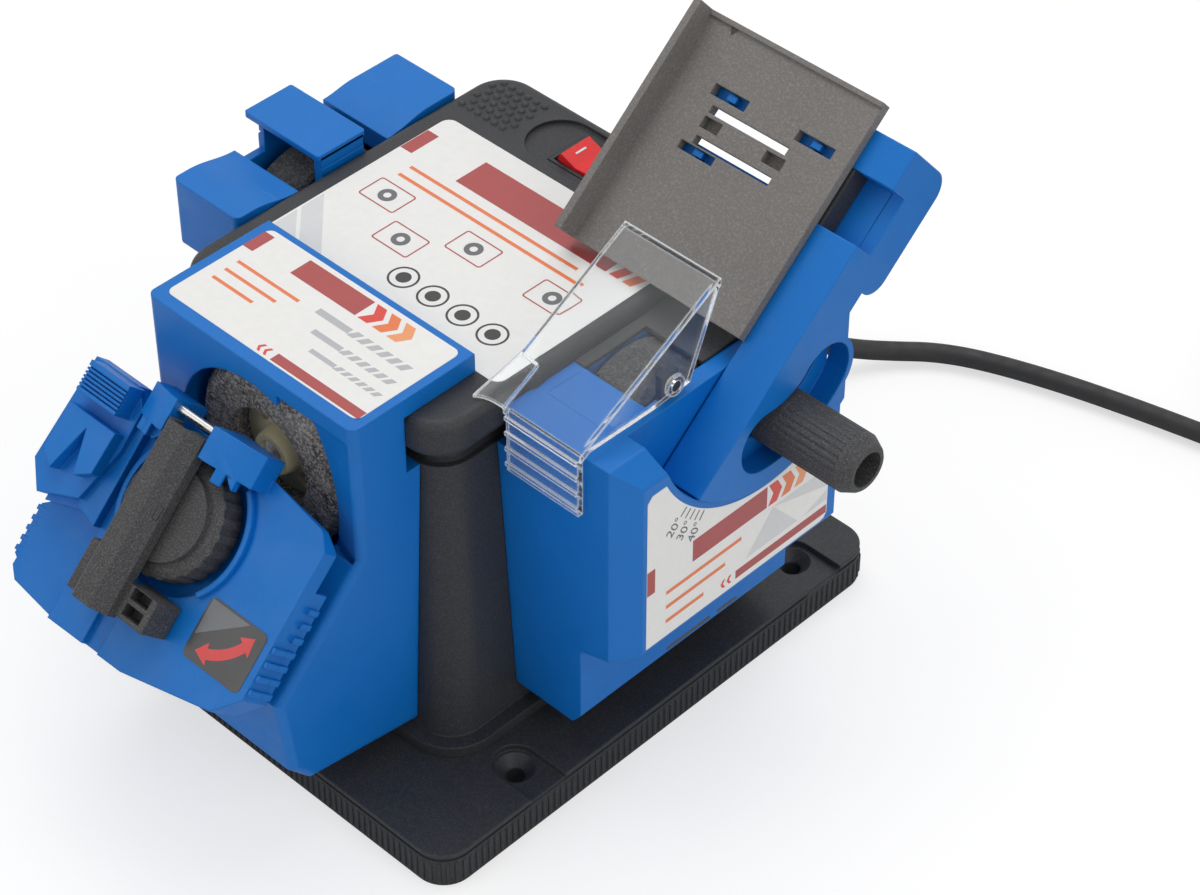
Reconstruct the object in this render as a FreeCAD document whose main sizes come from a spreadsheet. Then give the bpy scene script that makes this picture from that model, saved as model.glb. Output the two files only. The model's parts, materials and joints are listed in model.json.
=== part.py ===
import FreeCAD, Part
import math
import os

import Sketcher
from FreeCAD import Placement, Rotation, Vector

# Bench sharpener with three grinding stations round one column: drills in front, chisels on the
# right, knives on the left. Millimetres, +Z up, -Y to the front, the origin midway between the
# four bench screw holes on the underside of the base.

doc = FreeCAD.newDocument("Sharpener")
sheet = doc.addObject("Spreadsheet::Sheet", "Sizes")
nodes = []


class Size:
    """A length that keeps its value and the expression that ties it to the sheet."""

    def __init__(self, value, text):
        self.value = value
        self.text = text

    def __add__(self, other):
        other = size(other)
        return Size(self.value + other.value, f"({self.text} + {other.text})")

    def __sub__(self, other):
        other = size(other)
        return Size(self.value - other.value, f"({self.text} - {other.text})")

    def __mul__(self, other):
        other = size(other)
        return Size(self.value * other.value, f"({self.text} * {other.text})")

    def __truediv__(self, other):
        other = size(other)
        return Size(self.value / other.value, f"({self.text} / {other.text})")

    def __radd__(self, other):
        return size(other) + self

    def __rsub__(self, other):
        return size(other) - self

    def __rmul__(self, other):
        return size(other) * self

    def __neg__(self):
        return size(0) - self


def size(value):
    return value if isinstance(value, Size) else Size(float(value), f"({float(value)!r})")


def dim(alias, value):
    """Add one driving dimension to the sheet."""
    dim.row += 1
    sheet.set(f"A{dim.row}", alias)
    sheet.set(f"B{dim.row}", str(value))
    sheet.setAlias(f"B{dim.row}", alias)
    return Size(float(value), f"Sizes.{alias}")


dim.row = 0


# Fits
seat_gap = dim("seat_gap", 0.2)
run_gap = dim("run_gap", 0.05)
swing_gap = dim("swing_gap", 0.5)

# Base plate and its bench screw holes
base_width = dim("base_width", 152.8)
base_front = dim("base_front", -92.9)
base_rear = dim("base_rear", 74.7)
base_thick = dim("base_thick", 11.3)
base_corner = dim("base_corner", 8.8)
base_lip = dim("base_lip", 1.2)
hole_pitch_x = dim("hole_pitch_x", 128)
hole_pitch_y = dim("hole_pitch_y", 109)
hole_radius = dim("hole_radius", 2.6)
sink_radius = dim("sink_radius", 5.4)
sink_depth = dim("sink_depth", 3)
hole_recess = dim("hole_recess", 2)

# Column between base and cover
foot_half = dim("foot_half", 51)
top_half = dim("top_half", 45.5)
foot_front = dim("foot_front", -65)
top_front = dim("top_front", -59.5)
foot_rear = dim("foot_rear", 56.5)
top_rear = dim("top_rear", 51)
column_top = dim("column_top", 104)
column_corner = dim("column_corner", 10)
neck_top = dim("neck_top", 111)
neck_inset = dim("neck_inset", 2)
wall = dim("wall", 3)
flange_wide = dim("flange_wide", 4)
flange_high = dim("flange_high", 3.5)

# Cover
cover_half = dim("cover_half", 49.2)
cover_front = dim("cover_front", -64)
cover_rear = dim("cover_rear", 55.6)
cover_top = dim("cover_top", 122)
cover_corner = dim("cover_corner", 11)
cover_edge = dim("cover_edge", 3)
pit_half = dim("pit_half", 8.6)
pit_x = dim("pit_x", -3)
pit_y = dim("pit_y", 42)
pit_long = dim("pit_long", 14)
dish_radius = dim("dish_radius", 10)
dish_depth = dim("dish_depth", 1.2)

# Shafts and wheels
shaft_y = dim("shaft_y", -4)
shaft_z = dim("shaft_z", 94)
shaft_radius = dim("shaft_radius", 4)
bush_radius = dim("bush_radius", 8)
wheel_radius = dim("wheel_radius", 24)
wheel_thick = dim("wheel_thick", 14)
drill_wheel_radius = dim("drill_wheel_radius", 26)
drill_wheel_bore = dim("drill_wheel_bore", 14)
drill_wheel_thick = dim("drill_wheel_thick", 12)
drill_wheel_face = dim("drill_wheel_face", -77)
gear_pitch = dim("gear_pitch", 12)
gear_small = dim("gear_small", 6.5)

# Drill unit
drill_half = dim("drill_half", 38)
hood_top = dim("hood_top", 128)
hood_rear = dim("hood_rear", -40)
drill_front = dim("drill_front", -81)
drill_low_z = dim("drill_low_z", 16)
drill_nose_y = dim("drill_nose_y", -102)
drill_nose_z = dim("drill_nose_z", 22)
drill_chin_y = dim("drill_chin_y", -108)
drill_chin_z = dim("drill_chin_z", 29)
wheel_room = dim("wheel_room", 28.5)
mouth_radius = dim("mouth_radius", 27.5)

# Swinging cradle, in its own frame: x across, y up the slope, z out of the slope
cradle_y = dim("cradle_y", -88.4)
cradle_z = dim("cradle_z", 100)
slope = dim("slope", 45)
cradle_right = dim("cradle_right", 38.2)
cradle_left = dim("cradle_left", -27)
cradle_low = dim("cradle_low", -61)
plate_thick = dim("plate_thick", 5)
skirt_deep = dim("skirt_deep", 10)
floor_deep = dim("floor_deep", 16)
pivot_x = dim("pivot_x", -8)
pivot_y = dim("pivot_y", -10)
pivot_radius = dim("pivot_radius", 3)
pin_deep = dim("pin_deep", 4)

# Drill holder and its knob, in the cradle's frame
bar_left = dim("bar_left", -14.5)
bar_right = dim("bar_right", -1.5)
bar_low = dim("bar_low", -48)
bar_high = dim("bar_high", 2.5)
bar_floor = dim("bar_floor", 8.7)
bar_top = dim("bar_top", 16.2)
groove_wide = dim("groove_wide", 5.4)
groove_high = dim("groove_high", 5.2)
knob_x = dim("knob_x", -4)
knob_y = dim("knob_y", -19)
knob_radius = dim("knob_radius", 16.5)
knob_under = dim("knob_under", -3)

# Chisel unit
chisel_front = dim("chisel_front", -40.5)
chisel_rear = dim("chisel_rear", 38.9)
chisel_low = dim("chisel_low", 22)
chisel_step = dim("chisel_step", 50)
chisel_inner = dim("chisel_inner", 74.5)
chisel_outer = dim("chisel_outer", 90.4)
chisel_top = dim("chisel_top", 118)
well_left = dim("well_left", 53)
well_right = dim("well_right", 73)

# Tilting arm, plate and clamp
tilt_y = dim("tilt_y", 11.4)
tilt_z = dim("tilt_z", 126)
table_angle = dim("table_angle", 40.7)
arm_radius = dim("arm_radius", 39.3)
arm_inner = dim("arm_inner", 78.5)
arm_outer = dim("arm_outer", 92)
slot_radius = dim("slot_radius", 24.5)
slot_half = dim("slot_half", 9.2)
slot_deep = dim("slot_deep", 6.5)
tail_long = dim("tail_long", 62)
tail_deep = dim("tail_deep", 24.5)
tail_root = dim("tail_root", 17.8)
arm_rear = dim("arm_rear", 38.4)
table_left = dim("table_left", 19)
table_right = dim("table_right", 79)
table_long = dim("table_long", 68.4)
table_thick = dim("table_thick", 3)
fence_high = dim("fence_high", 7)
fence_thick = dim("fence_thick", 2.2)
grip_radius = dim("grip_radius", 8.4)
grip_end = dim("grip_end", 117.5)
stud_radius = dim("stud_radius", 3)

# Clear guard
guard_left = dim("guard_left", 50.2)
guard_flap_left = dim("guard_flap_left", 44.5)
guard_flap_y = dim("guard_flap_y", -30)
guard_right = dim("guard_right", 77)
guard_front_y = dim("guard_front_y", -42.6)
guard_front_z = dim("guard_front_z", 120)
guard_rear_y = dim("guard_rear_y", 6.5)
guard_rear_z = dim("guard_rear_z", 147)
guard_thick = dim("guard_thick", 2)
guard_lip_low = dim("guard_lip_low", 99.5)
guard_pin_y = dim("guard_pin_y", -10)
guard_pin_z = dim("guard_pin_z", 123)

# Knife unit
knife_outer = dim("knife_outer", -75)
knife_front = dim("knife_front", -41.5)
knife_rear = dim("knife_rear", 38.5)
knife_low = dim("knife_low", 102)
knife_top = dim("knife_top", 122.6)
knife_well_low = dim("knife_well_low", 66)
bridge_top = dim("bridge_top", 127.2)
bridge_front = dim("bridge_front", -12.5)
bridge_rear = dim("bridge_rear", 4.5)

# Motor
motor_radius = dim("motor_radius", 21)
motor_left = dim("motor_left", -39.5)
motor_right = dim("motor_right", -17.5)

# Mains lead
cord_radius = dim("cord_radius", 3)
relief_z = dim("relief_z", 24)
relief_radius = dim("relief_radius", 5.5)
relief_end = dim("relief_end", 86)


class Frame:
    """A place in the model, tilted about X."""

    def __init__(self, y, z, tilt):
        self.y = size(y)
        self.z = size(z)
        self.tilt = tilt
        self.turn = Rotation(Vector(1, 0, 0), tilt)

    def at(self, x, y, z):
        if not self.tilt:
            return size(x), self.y + y, self.z + z
        c = math.cos(math.radians(self.tilt))
        s = math.sin(math.radians(self.tilt))
        y = size(y)
        z = size(z)
        return size(x), self.y + c * y - s * z, self.z + s * y + c * z


WORLD = Frame(0, 0, 0)
CRADLE = Frame(cradle_y, cradle_z, slope.value)
TABLE = Frame(tilt_y, tilt_z, table_angle.value)
TURNS = {
    "x": Rotation(Vector(0, 1, 0), 90),
    "y": Rotation(Vector(1, 0, 0), -90),
    "z": Rotation(),
    "yz": Rotation(Vector(1, 1, 1), 120),
    "xz": Rotation(Vector(1, 0, 0), 90),
    "xy": Rotation(),
}


def bind(obj, prop, value):
    value = size(value)
    setattr(obj, prop, value.value)
    if "Sizes" in value.text:
        obj.setExpression(prop, value.text)


def place(obj, frame, spot, turn):
    spot = frame.at(*spot)
    base = Vector(*[v.value for v in spot])
    obj.Placement = Placement(base, frame.turn.multiply(turn))
    for axis, value in zip("xyz", spot):
        if "Sizes" in value.text:
            obj.setExpression(f"Placement.Base.{axis}", value.text)


def box(name, x, y, z, frame=WORLD):
    """A box between pairs of limits."""
    obj = doc.addObject("Part::Box", name)
    for prop, (low, high) in zip(("Length", "Width", "Height"), (x, y, z)):
        bind(obj, prop, size(high) - low)
    place(obj, frame, (x[0], y[0], z[0]), Rotation())
    return obj


def rod(name, axis, centre, low, high, radius, frame=WORLD, end_radius=None):
    """A cylinder, or a cone, along an axis; the centre gives the other two places in order."""
    if end_radius is None:
        obj = doc.addObject("Part::Cylinder", name)
        bind(obj, "Radius", radius)
    else:
        obj = doc.addObject("Part::Cone", name)
        bind(obj, "Radius1", radius)
        bind(obj, "Radius2", end_radius)
    bind(obj, "Height", size(high) - low)
    a, b = centre
    spot = {"x": (low, a, b), "y": (a, low, b), "z": (a, b, low)}[axis]
    place(obj, frame, spot, TURNS[axis])
    return obj


def outline(name, plane, points, level, frame=WORLD):
    """A closed sketch of straight sides, each corner tied to the sheet."""
    sketch = doc.addObject("Sketcher::SketchObject", name)
    points = [(size(a), size(b)) for a, b in points]
    count = len(points)
    for i in range(count):
        a, b = points[i]
        c, d = points[(i + 1) % count]
        sketch.addGeometry(Part.LineSegment(Vector(a.value, b.value, 0), Vector(c.value, d.value, 0)))
    for i in range(count):
        sketch.addConstraint(Sketcher.Constraint("Coincident", i, 2, (i + 1) % count, 1))
    for i, corner in enumerate(points):
        for kind, value in zip(("DistanceX", "DistanceY"), corner):
            k = sketch.addConstraint(Sketcher.Constraint(kind, -1, 1, i, 1, value.value))
            if "Sizes" in value.text:
                sketch.setExpression(f"Constraints[{k}]", value.text)
    spot = {"yz": (level, 0, 0), "xz": (0, level, 0), "xy": (0, 0, level)}[plane]
    place(sketch, frame, spot, TURNS[plane])
    return sketch


def prism(name, plane, points, low, high, frame=WORLD):
    """A straight-sided outline pushed between two levels square to its plane."""
    level = high if plane == "xz" else low
    obj = doc.addObject("Part::Extrusion", name)
    obj.Base = outline(name + "_outline", plane, points, level, frame)
    obj.DirMode = "Normal"
    bind(obj, "LengthFwd", size(high) - low)
    obj.Solid = True
    return obj


def turned(name, axis, centre, points, frame=WORLD):
    """A solid turned about an axis from (radius, place along the axis) corners."""
    obj = doc.addObject("Part::Revolution", name)
    a, b = centre
    spot = {"x": (0, a, b), "y": (a, 0, b), "z": (a, b, 0)}[axis]
    sketch = outline(name + "_outline", "xz", points, 0)
    obj.Source = sketch
    obj.Axis = Vector(0, 0, 1)
    obj.Base = Vector(0, 0, 0)
    obj.Angle = 360
    obj.Solid = True
    place(obj, frame, spot, TURNS[axis])
    return obj


def join(name, *parts):
    obj = doc.addObject("Part::MultiFuse", name)
    obj.Shapes = list(parts)
    obj.Refine = True
    return obj


def trim(name, base, *tools):
    obj = doc.addObject("Part::Cut", name)
    obj.Base = base
    obj.Tool = tools[0] if len(tools) == 1 else join(name + "_tools", *tools)
    obj.Refine = True
    return obj


def soften(name, base, radius, picked):
    """Round the edges that a test on an edge's two ends and middle picks out."""
    doc.recompute()
    obj = doc.addObject("Part::Fillet", name)
    obj.Base = base
    radius = size(radius).value
    chosen = []
    for i, edge in enumerate(base.Shape.Edges):
        ends = [v.Point for v in edge.Vertexes]
        if len(ends) == 2 and picked(ends[0], ends[1]):
            chosen.append((i + 1, radius, radius))
    obj.Edges = chosen
    return obj


def upright(a, b):
    return abs(a.x - b.x) < 0.01 and abs(a.y - b.y) < 0.01


def feature(name, shape, placement=Placement()):
    obj = doc.addObject("Part::Feature", name)
    obj.Shape = shape
    obj.Placement = placement
    return obj


def node(label, obj):
    obj.Label = label
    nodes.append(obj)


def taper(foot, top, z):
    """Place of a leaning column face at a height."""
    return foot + (top - foot) * ((size(z) - base_thick) / (column_top - base_thick))


# Base plate
half = base_width / 2
slab = box("base_slab", (-half, half), (base_front, base_rear), (0, base_thick))
slab = soften("base_round", slab, base_corner, upright)
lip = box(
    "base_lip_slab", (-half - 1, half + 1), (base_front - 1, base_rear + 1),
    (base_thick - base_lip * 2, base_thick - base_lip),
)
lip_core = box(
    "base_lip_core", (-half + 0.8, half - 0.8), (base_front + 0.8, base_rear - 0.8), (0, base_thick),
)
lip_core = soften("base_lip_round", lip_core, base_corner - 0.8, upright)
lip_groove = trim("base_lip_groove", lip, lip_core)
cuts = [lip_groove]
for sx in (-1, 1):
    for sy in (-1, 1):
        tag = f"{'l' if sx < 0 else 'r'}{'f' if sy < 0 else 'b'}"
        cx = sx * hole_pitch_x / 2
        cy = sy * hole_pitch_y / 2
        floor_z = base_thick - hole_recess
        cuts.append(rod("hole_" + tag, "z", (cx, cy), -1, base_thick + 1, hole_radius))
        cuts.append(
            rod(
                "sink_" + tag, "z", (cx, cy), floor_z - sink_depth, floor_z + 0.01, hole_radius,
                end_radius=sink_radius,
            ),
        )
        cuts.append(rod("round_" + tag, "z", (cx, cy), floor_z, base_thick + 1, sink_radius + 1))
        reach = (cx, half + 1) if sx > 0 else (-half - 1, cx)
        cuts.append(
            box(
                "recess_" + tag, reach, (cy - sink_radius - 1, cy + sink_radius + 1),
                (floor_z, base_thick + 1),
            ),
        )
screw_x = foot_half - wall - 3.5
screw_spots = [(sx * screw_x, sy) for sx in (-1, 1) for sy in (foot_front + 10, foot_rear - 10)]
screw_radius = dim("screw_radius", 2)
head_radius = dim("head_radius", 4)
head_high = dim("head_high", 3)
boss_radius = dim("boss_radius", 4.5)
boss_high = dim("boss_high", 16)
for i, (cx, cy) in enumerate(screw_spots):
    cuts.append(rod(f"screw_way_{i}", "z", (cx, cy), -1, base_thick + 1, screw_radius + run_gap))
    cuts.append(rod(f"head_way_{i}", "z", (cx, cy), -1, head_high + 1, head_radius + seat_gap))
node("base_plate", trim("base_plate", slab, *cuts))

# Column fastening screws
screws = doc.addObject("Part::Compound", "column_screws")
links = []
for i, (cx, cy) in enumerate(screw_spots):
    shank = rod(f"screw_shank_{i}", "z", (cx, cy), 1 + head_high, base_thick + boss_high - 4, screw_radius)
    head = rod(f"screw_head_{i}", "z", (cx, cy), 1, 1 + head_high, head_radius)
    links.append(join(f"screw_{i}", shank, head))
screws.Links = links
node("column_screws", screws)


# Column housing
def tower(name, inset, low, high):
    """A tapered block that follows the column's faces, set in by a wall."""
    obj = doc.addObject("Part::Wedge", name)
    bind(obj, "Ymin", low)
    bind(obj, "Ymax", high)
    bind(obj, "Xmin", -taper(foot_half, top_half, low) + inset)
    bind(obj, "Xmax", taper(foot_half, top_half, low) - inset)
    bind(obj, "X2min", -taper(foot_half, top_half, high) + inset)
    bind(obj, "X2max", taper(foot_half, top_half, high) - inset)
    bind(obj, "Zmin", -taper(foot_rear, top_rear, low) + inset)
    bind(obj, "Zmax", -taper(foot_front, top_front, low) - inset)
    bind(obj, "Z2min", -taper(foot_rear, top_rear, high) + inset)
    bind(obj, "Z2max", -taper(foot_front, top_front, high) - inset)
    obj.Placement = Placement(Vector(), TURNS["xz"])
    return obj


def steep(a, b):
    return abs(a.z - b.z) > 5


shell = soften("column_round", tower("column_block", 0, base_thick, column_top), column_corner, steep)
neck_half = top_half - neck_inset
neck = box(
    "neck_block", (-neck_half, neck_half), (top_front + neck_inset, top_rear - neck_inset),
    (column_top - 1, neck_top),
)
neck = soften("neck_round", neck, column_corner - neck_inset, upright)
skirt_half = foot_half + flange_wide
skirt = box(
    "skirt_block", (-skirt_half, skirt_half), (foot_front - flange_wide, foot_rear + flange_wide),
    (base_thick, base_thick + flange_high),
)
skirt = soften("skirt_round", skirt, column_corner + flange_wide, upright)
hollow = soften(
    "column_hollow", tower("hollow_block", wall, base_thick - 0.01, column_top), column_corner - wall,
    steep,
)
neck_hollow = box(
    "neck_hollow", (-neck_half + wall, neck_half - wall),
    (top_front + neck_inset + wall, top_rear - neck_inset - wall), (column_top - 2, neck_top + 1),
)
column = trim("column_shell", join("column_outer", shell, neck, skirt), hollow, neck_hollow)
bosses = []
for i, (cx, cy) in enumerate(screw_spots):
    post = rod(f"boss_{i}", "z", (cx, cy), base_thick, base_thick + boss_high, boss_radius)
    bosses.append(
        trim(
            f"boss_bored_{i}", post,
            rod(
                f"boss_way_{i}", "z", (cx, cy), base_thick - 1, base_thick + boss_high - 3,
                screw_radius + run_gap,
            ),
        ),
    )
column = join("column_bossed", column, *bosses)
ways = [rod("shaft_way", "x", (shaft_y, shaft_z), -foot_half - 5, foot_half + 5, bush_radius + seat_gap)]
ways.append(rod("spindle_way", "y", (0, shaft_z), foot_front - 5, top_front + 15, bush_radius + seat_gap))
ways.append(rod("cord_way", "y", (0, relief_z), foot_rear - 12, foot_rear + 8, relief_radius - 1 + run_gap))
node("column_housing", trim("column_housing", column, *ways))

# Top cover
lid = box("cover_block", (-cover_half, cover_half), (cover_front, cover_rear), (neck_top, cover_top))
lid = soften("cover_round", lid, cover_corner, upright)
lid = soften("cover_edges", lid, cover_edge, lambda a, b: abs(a.z - b.z) < 0.01)
pocket = box(
    "cover_room", (-neck_half + wall, neck_half - wall),
    (top_front + neck_inset + wall, top_rear - neck_inset - wall), (neck_top - 1, cover_top - wall),
)
pit = box(
    "switch_pit", (pit_x - pit_half, pit_x + pit_half), (pit_y - pit_long / 2, pit_y + pit_long / 2),
    (neck_top, cover_top + 1),
)
dish_z = (cover_top - dish_depth, cover_top + 1)
dish = join(
    "dish",
    rod("dish_left", "z", (pit_x - dish_radius, pit_y), *dish_z, dish_radius),
    rod("dish_right", "z", (pit_x + dish_radius, pit_y), *dish_z, dish_radius),
    box(
        "dish_mid", (pit_x - dish_radius, pit_x + dish_radius), (pit_y - dish_radius, pit_y + dish_radius),
        dish_z,
    ),
)
ear_reach = dim("ear_reach", 2)
ear_room = box(
    "ear_room", (pit_x - pit_half - ear_reach, pit_x + pit_half + ear_reach),
    (pit_y - pit_long / 2 - ear_reach, pit_y + pit_long / 2 + ear_reach), (neck_top - 1, cover_top - wall),
)
node("top_cover", trim("top_cover", lid, pocket, ear_room, pit, dish))

# Rocker switch
switch_floor = cover_top - wall
rocker_z = cover_top - 2.5
frame_x = pit_half - seat_gap
body = box(
    "switch_block", (pit_x - frame_x, pit_x + frame_x),
    (pit_y - pit_long / 2 + seat_gap, pit_y + pit_long / 2 - seat_gap), (neck_top + 0.3, cover_top - 1),
)
well = box(
    "switch_well", (pit_x - frame_x + 1, pit_x + frame_x - 1),
    (pit_y - pit_long / 2 + 1.2, pit_y + pit_long / 2 - 1.2), (neck_top + 2, cover_top + 1),
)
pivot_hole = rod("rocker_hole", "y", (pit_x, rocker_z), pit_y - pit_long, pit_y + pit_long, 1 + run_gap)
ear_out = ear_reach - seat_gap
ear_y = (pit_y - pit_long / 2 - ear_out, pit_y + pit_long / 2 + ear_out)
ears = box(
    "switch_ears", (pit_x - pit_half - ear_out, pit_x + pit_half + ear_out), ear_y,
    (switch_floor - 2.4, switch_floor - seat_gap),
)
ears = trim(
    "switch_flange", ears,
    box(
        "ears_way", (pit_x - frame_x + 1, pit_x + frame_x - 1),
        (pit_y - pit_long / 2 + 1.2, pit_y + pit_long / 2 - 1.2), (neck_top, cover_top),
    ),
)
node("switch_body", trim("switch_body", join("switch_shell", body, ears), well, pivot_hole))
rocker_half = dim("rocker_half", 6.6)
rocker_lean = dim("rocker_lean", 9)
rocker_wide = (pit_y - pit_long / 2 + 1.6, pit_y + pit_long / 2 - 1.6)
paddle = prism(
    "rocker_paddle", "xz",
    [
        (-rocker_half, 0.6), (0, -0.2), (rocker_half, 0.6), (rocker_half - 1, 3.4), (0, 2.2),
        (1 - rocker_half, 3.4),
    ],
    *rocker_wide,
)
place(
    paddle.Base, WORLD, (pit_x, rocker_wide[1], rocker_z),
    Rotation(Vector(0, 1, 0), rocker_lean.value).multiply(TURNS["xz"]),
)
pins = rod("rocker_pins", "y", (pit_x, rocker_z), pit_y - pit_long / 2 + 0.6, pit_y + pit_long / 2 - 0.6, 1)
node("switch_rocker", join("switch_rocker", paddle, pins))

# Motor shaft with its wheels, along X
shaft_at = (shaft_y, shaft_z)
shaft_tip = dim("shaft_tip", 73)
knife_shaft_tip = dim("knife_shaft_tip", 71)
node("motor_shaft", rod("motor_shaft", "x", shaft_at, -knife_shaft_tip, shaft_tip - 1, shaft_radius))
bore = shaft_radius + run_gap / 2
chisel_wheel_x = dim("chisel_wheel_x", 55.5)
knife_wheel_x = dim("knife_wheel_x", -68.5)
for label, start in (("chisel_wheel", chisel_wheel_x), ("knife_wheel", knife_wheel_x)):
    end = start + wheel_thick
    node(
        label,
        turned(
            label, "x", shaft_at,
            [
                (bore, start), (wheel_radius - 1, start), (wheel_radius, start + 1),
                (wheel_radius, end - 1), (wheel_radius - 1, end), (bore, end),
            ],
        ),
    )
nut_high = dim("nut_high", 2)
nut_radius = dim("nut_radius", 7)
for label, start in (
    ("chisel_wheel_nut", chisel_wheel_x + wheel_thick), ("knife_wheel_nut", knife_wheel_x - nut_high),
):
    nut = doc.addObject("Part::Prism", label + "_hex")
    nut.Polygon = 6
    bind(nut, "Circumradius", nut_radius)
    bind(nut, "Height", nut_high)
    place(nut, WORLD, (start, shaft_y, shaft_z), TURNS["x"])
    node(label, trim(label, nut, rod(label + "_bore", "x", shaft_at, start - 1, start + nut_high + 1, bore)))

# Motor
can = turned("motor_can_turned", "x", shaft_at, [
    (shaft_radius + 1, motor_left), (motor_radius, motor_left), (motor_radius, motor_right),
    (motor_radius - 1.5, motor_right), (motor_radius - 1.5, motor_left + 2), (
        shaft_radius + 1, motor_left + 2,
    ),
])
node("motor_can", can)
cap = turned("motor_cap_turned", "x", shaft_at, [
    (shaft_radius + run_gap, motor_right), (motor_radius, motor_right), (motor_radius, motor_right + 2.5),
    (8, motor_right + 2.5), (8, motor_right + 4), (shaft_radius + run_gap, motor_right + 4),
])
node("motor_end_cap", cap)
stator_in = dim("stator_in", 13.6)
rotor_radius = dim("rotor_radius", 13)
stator = turned("motor_stator_turned", "x", shaft_at, [
    (stator_in, motor_left + 6), (motor_radius - 1.5 - seat_gap, motor_left + 6),
    (motor_radius - 1.5 - seat_gap, motor_right - 5), (stator_in, motor_right - 5),
])
node("motor_stator", stator)
rotor = turned("motor_rotor_turned", "x", shaft_at, [
    (bore, motor_left + 5), (9, motor_left + 5), (rotor_radius, motor_left + 7), (
        rotor_radius, motor_right - 6,
    ),
    (9, motor_right - 4), (6, motor_right - 4), (6, motor_right - 1), (bore, motor_right - 1),
])
node("motor_rotor", rotor)
bush_in = dim("bush_in", 40)
bush_out = dim("bush_out", 48)
bushes = doc.addObject("Part::Compound", "shaft_bushes")
sides = []
for tag, low in (("right", bush_in), ("left", -bush_out)):
    outer = rod(f"bush_{tag}", "x", shaft_at, low, low + (bush_out - bush_in), bush_radius)
    sides.append(
        trim(
            f"bush_bored_{tag}", outer,
            rod(f"bush_bore_{tag}", "x", shaft_at, low - 1, low + 20, shaft_radius + run_gap),
        ),
    )
bushes.Links = sides
node("shaft_bushes", bushes)

# Bevel pair that turns the drill spindle
teeth = 16
addendum = 1.07
dedendum = 0.86


def bevel(name, half_step):
    """Straight bevel gear about +Z with its apex at the origin."""
    small = gear_small.value
    big = gear_pitch.value
    core = Part.makeCone(small * dedendum, big * dedendum, big - small, Vector(0, 0, small))
    hub = Part.makeCylinder(7, 5, Vector(0, 0, big))
    step = 2 * math.pi / teeth

    def section(z):
        corners = []
        for part, share in (
            (dedendum - 0.04, -0.27), (addendum, -0.12), (addendum, 0.12), (dedendum - 0.04, 0.27),
        ):
            turn = share * step
            corners.append(Vector(z * part * math.cos(turn), z * part * math.sin(turn), z))
        return Part.makePolygon(corners + corners[:1])

    tooth = Part.makeLoft([section(small), section(big)], True, True)
    cogs = []
    for i in range(teeth):
        cog = tooth.copy()
        cog.rotate(Vector(), Vector(0, 0, 1), math.degrees((i + half_step) * step))
        cogs.append(cog)
    gear = core.fuse([hub] + cogs)
    way = Part.makeCylinder(bore.value, big * 3, Vector(0, 0, -1))
    return feature(name, gear.cut(way).removeSplitter())


apex = Vector(0, shaft_y.value, shaft_z.value)
motor_gear = bevel("motor_bevel_gear", 0)
motor_gear.Placement = Placement(apex, TURNS["x"])
node("motor_bevel_gear", motor_gear)
drill_gear = bevel("drill_bevel_gear", 0.5)
drill_gear.Placement = Placement(apex, Rotation(Vector(1, 0, 0), 90))
node("drill_bevel_gear", drill_gear)

# Drill spindle, its bushes and the bracket inside the column
spindle_at = (0, shaft_z)
wheel_back = drill_wheel_face + drill_wheel_thick
spindle_rear = shaft_y - gear_small
node("drill_spindle", rod("drill_spindle", "y", spindle_at, drill_wheel_face + 2, spindle_rear, shaft_radius))
bracket_y = dim("bracket_y", -33)
bracket_thick = dim("bracket_thick", 4)
bracket_low = dim("bracket_low", 78)
bracket_half = taper(foot_half, top_half, column_top) - wall - seat_gap
web = box(
    "bracket_web", (-bracket_half, bracket_half), (bracket_y, bracket_y + bracket_thick),
    (bracket_low, column_top),
)
node(
    "gear_bracket",
    trim(
        "gear_bracket", web,
        rod("bracket_way", "y", spindle_at, bracket_y - 1, bracket_y + 9, bush_radius + seat_gap),
    ),
)
spindle_bushes = doc.addObject("Part::Compound", "spindle_bushes")
ends = []
for tag, low, high in (
    ("front", top_front - 2, top_front + 5), ("rear", bracket_y - 1, bracket_y + bracket_thick + 1),
):
    outer = rod(f"spindle_bush_{tag}", "y", spindle_at, low, high, bush_radius)
    ends.append(
        trim(
            f"spindle_bush_bored_{tag}", outer,
            rod(f"spindle_bore_{tag}", "y", spindle_at, low - 1, high + 1, shaft_radius + run_gap),
        ),
    )
spindle_bushes.Links = ends
node("spindle_bushes", spindle_bushes)

# Drill wheel and its hub
face = drill_wheel_face
ring = [
    (drill_wheel_bore + seat_gap, face), (drill_wheel_radius - 2, face), (drill_wheel_radius, face + 2),
    (drill_wheel_radius, wheel_back), (drill_wheel_bore + seat_gap, wheel_back),
]
node("drill_wheel", turned("drill_wheel", "y", spindle_at, ring))
hub_front = face + 1
hub = turned("hub_turned", "y", spindle_at, [
    (bore, hub_front), (6, hub_front), (7, hub_front + 4), (drill_wheel_bore, hub_front + 5),
    (drill_wheel_bore, wheel_back), (drill_wheel_bore + 2, wheel_back + 0.1),
    (drill_wheel_bore + 2, wheel_back + 1.6), (bore, wheel_back + 1.6),
])
hub_holes = []
for i in range(4):
    turn = math.radians(45 + 90 * i)
    spot = (10.4 * math.cos(turn), shaft_z + 10.4 * math.sin(turn))
    hub_holes.append(rod(f"hub_hole_{i}", "y", spot, face - 1, wheel_back + 3, 2.4))
node("drill_wheel_hub", trim("drill_wheel_hub", hub, *hub_holes))

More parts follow.
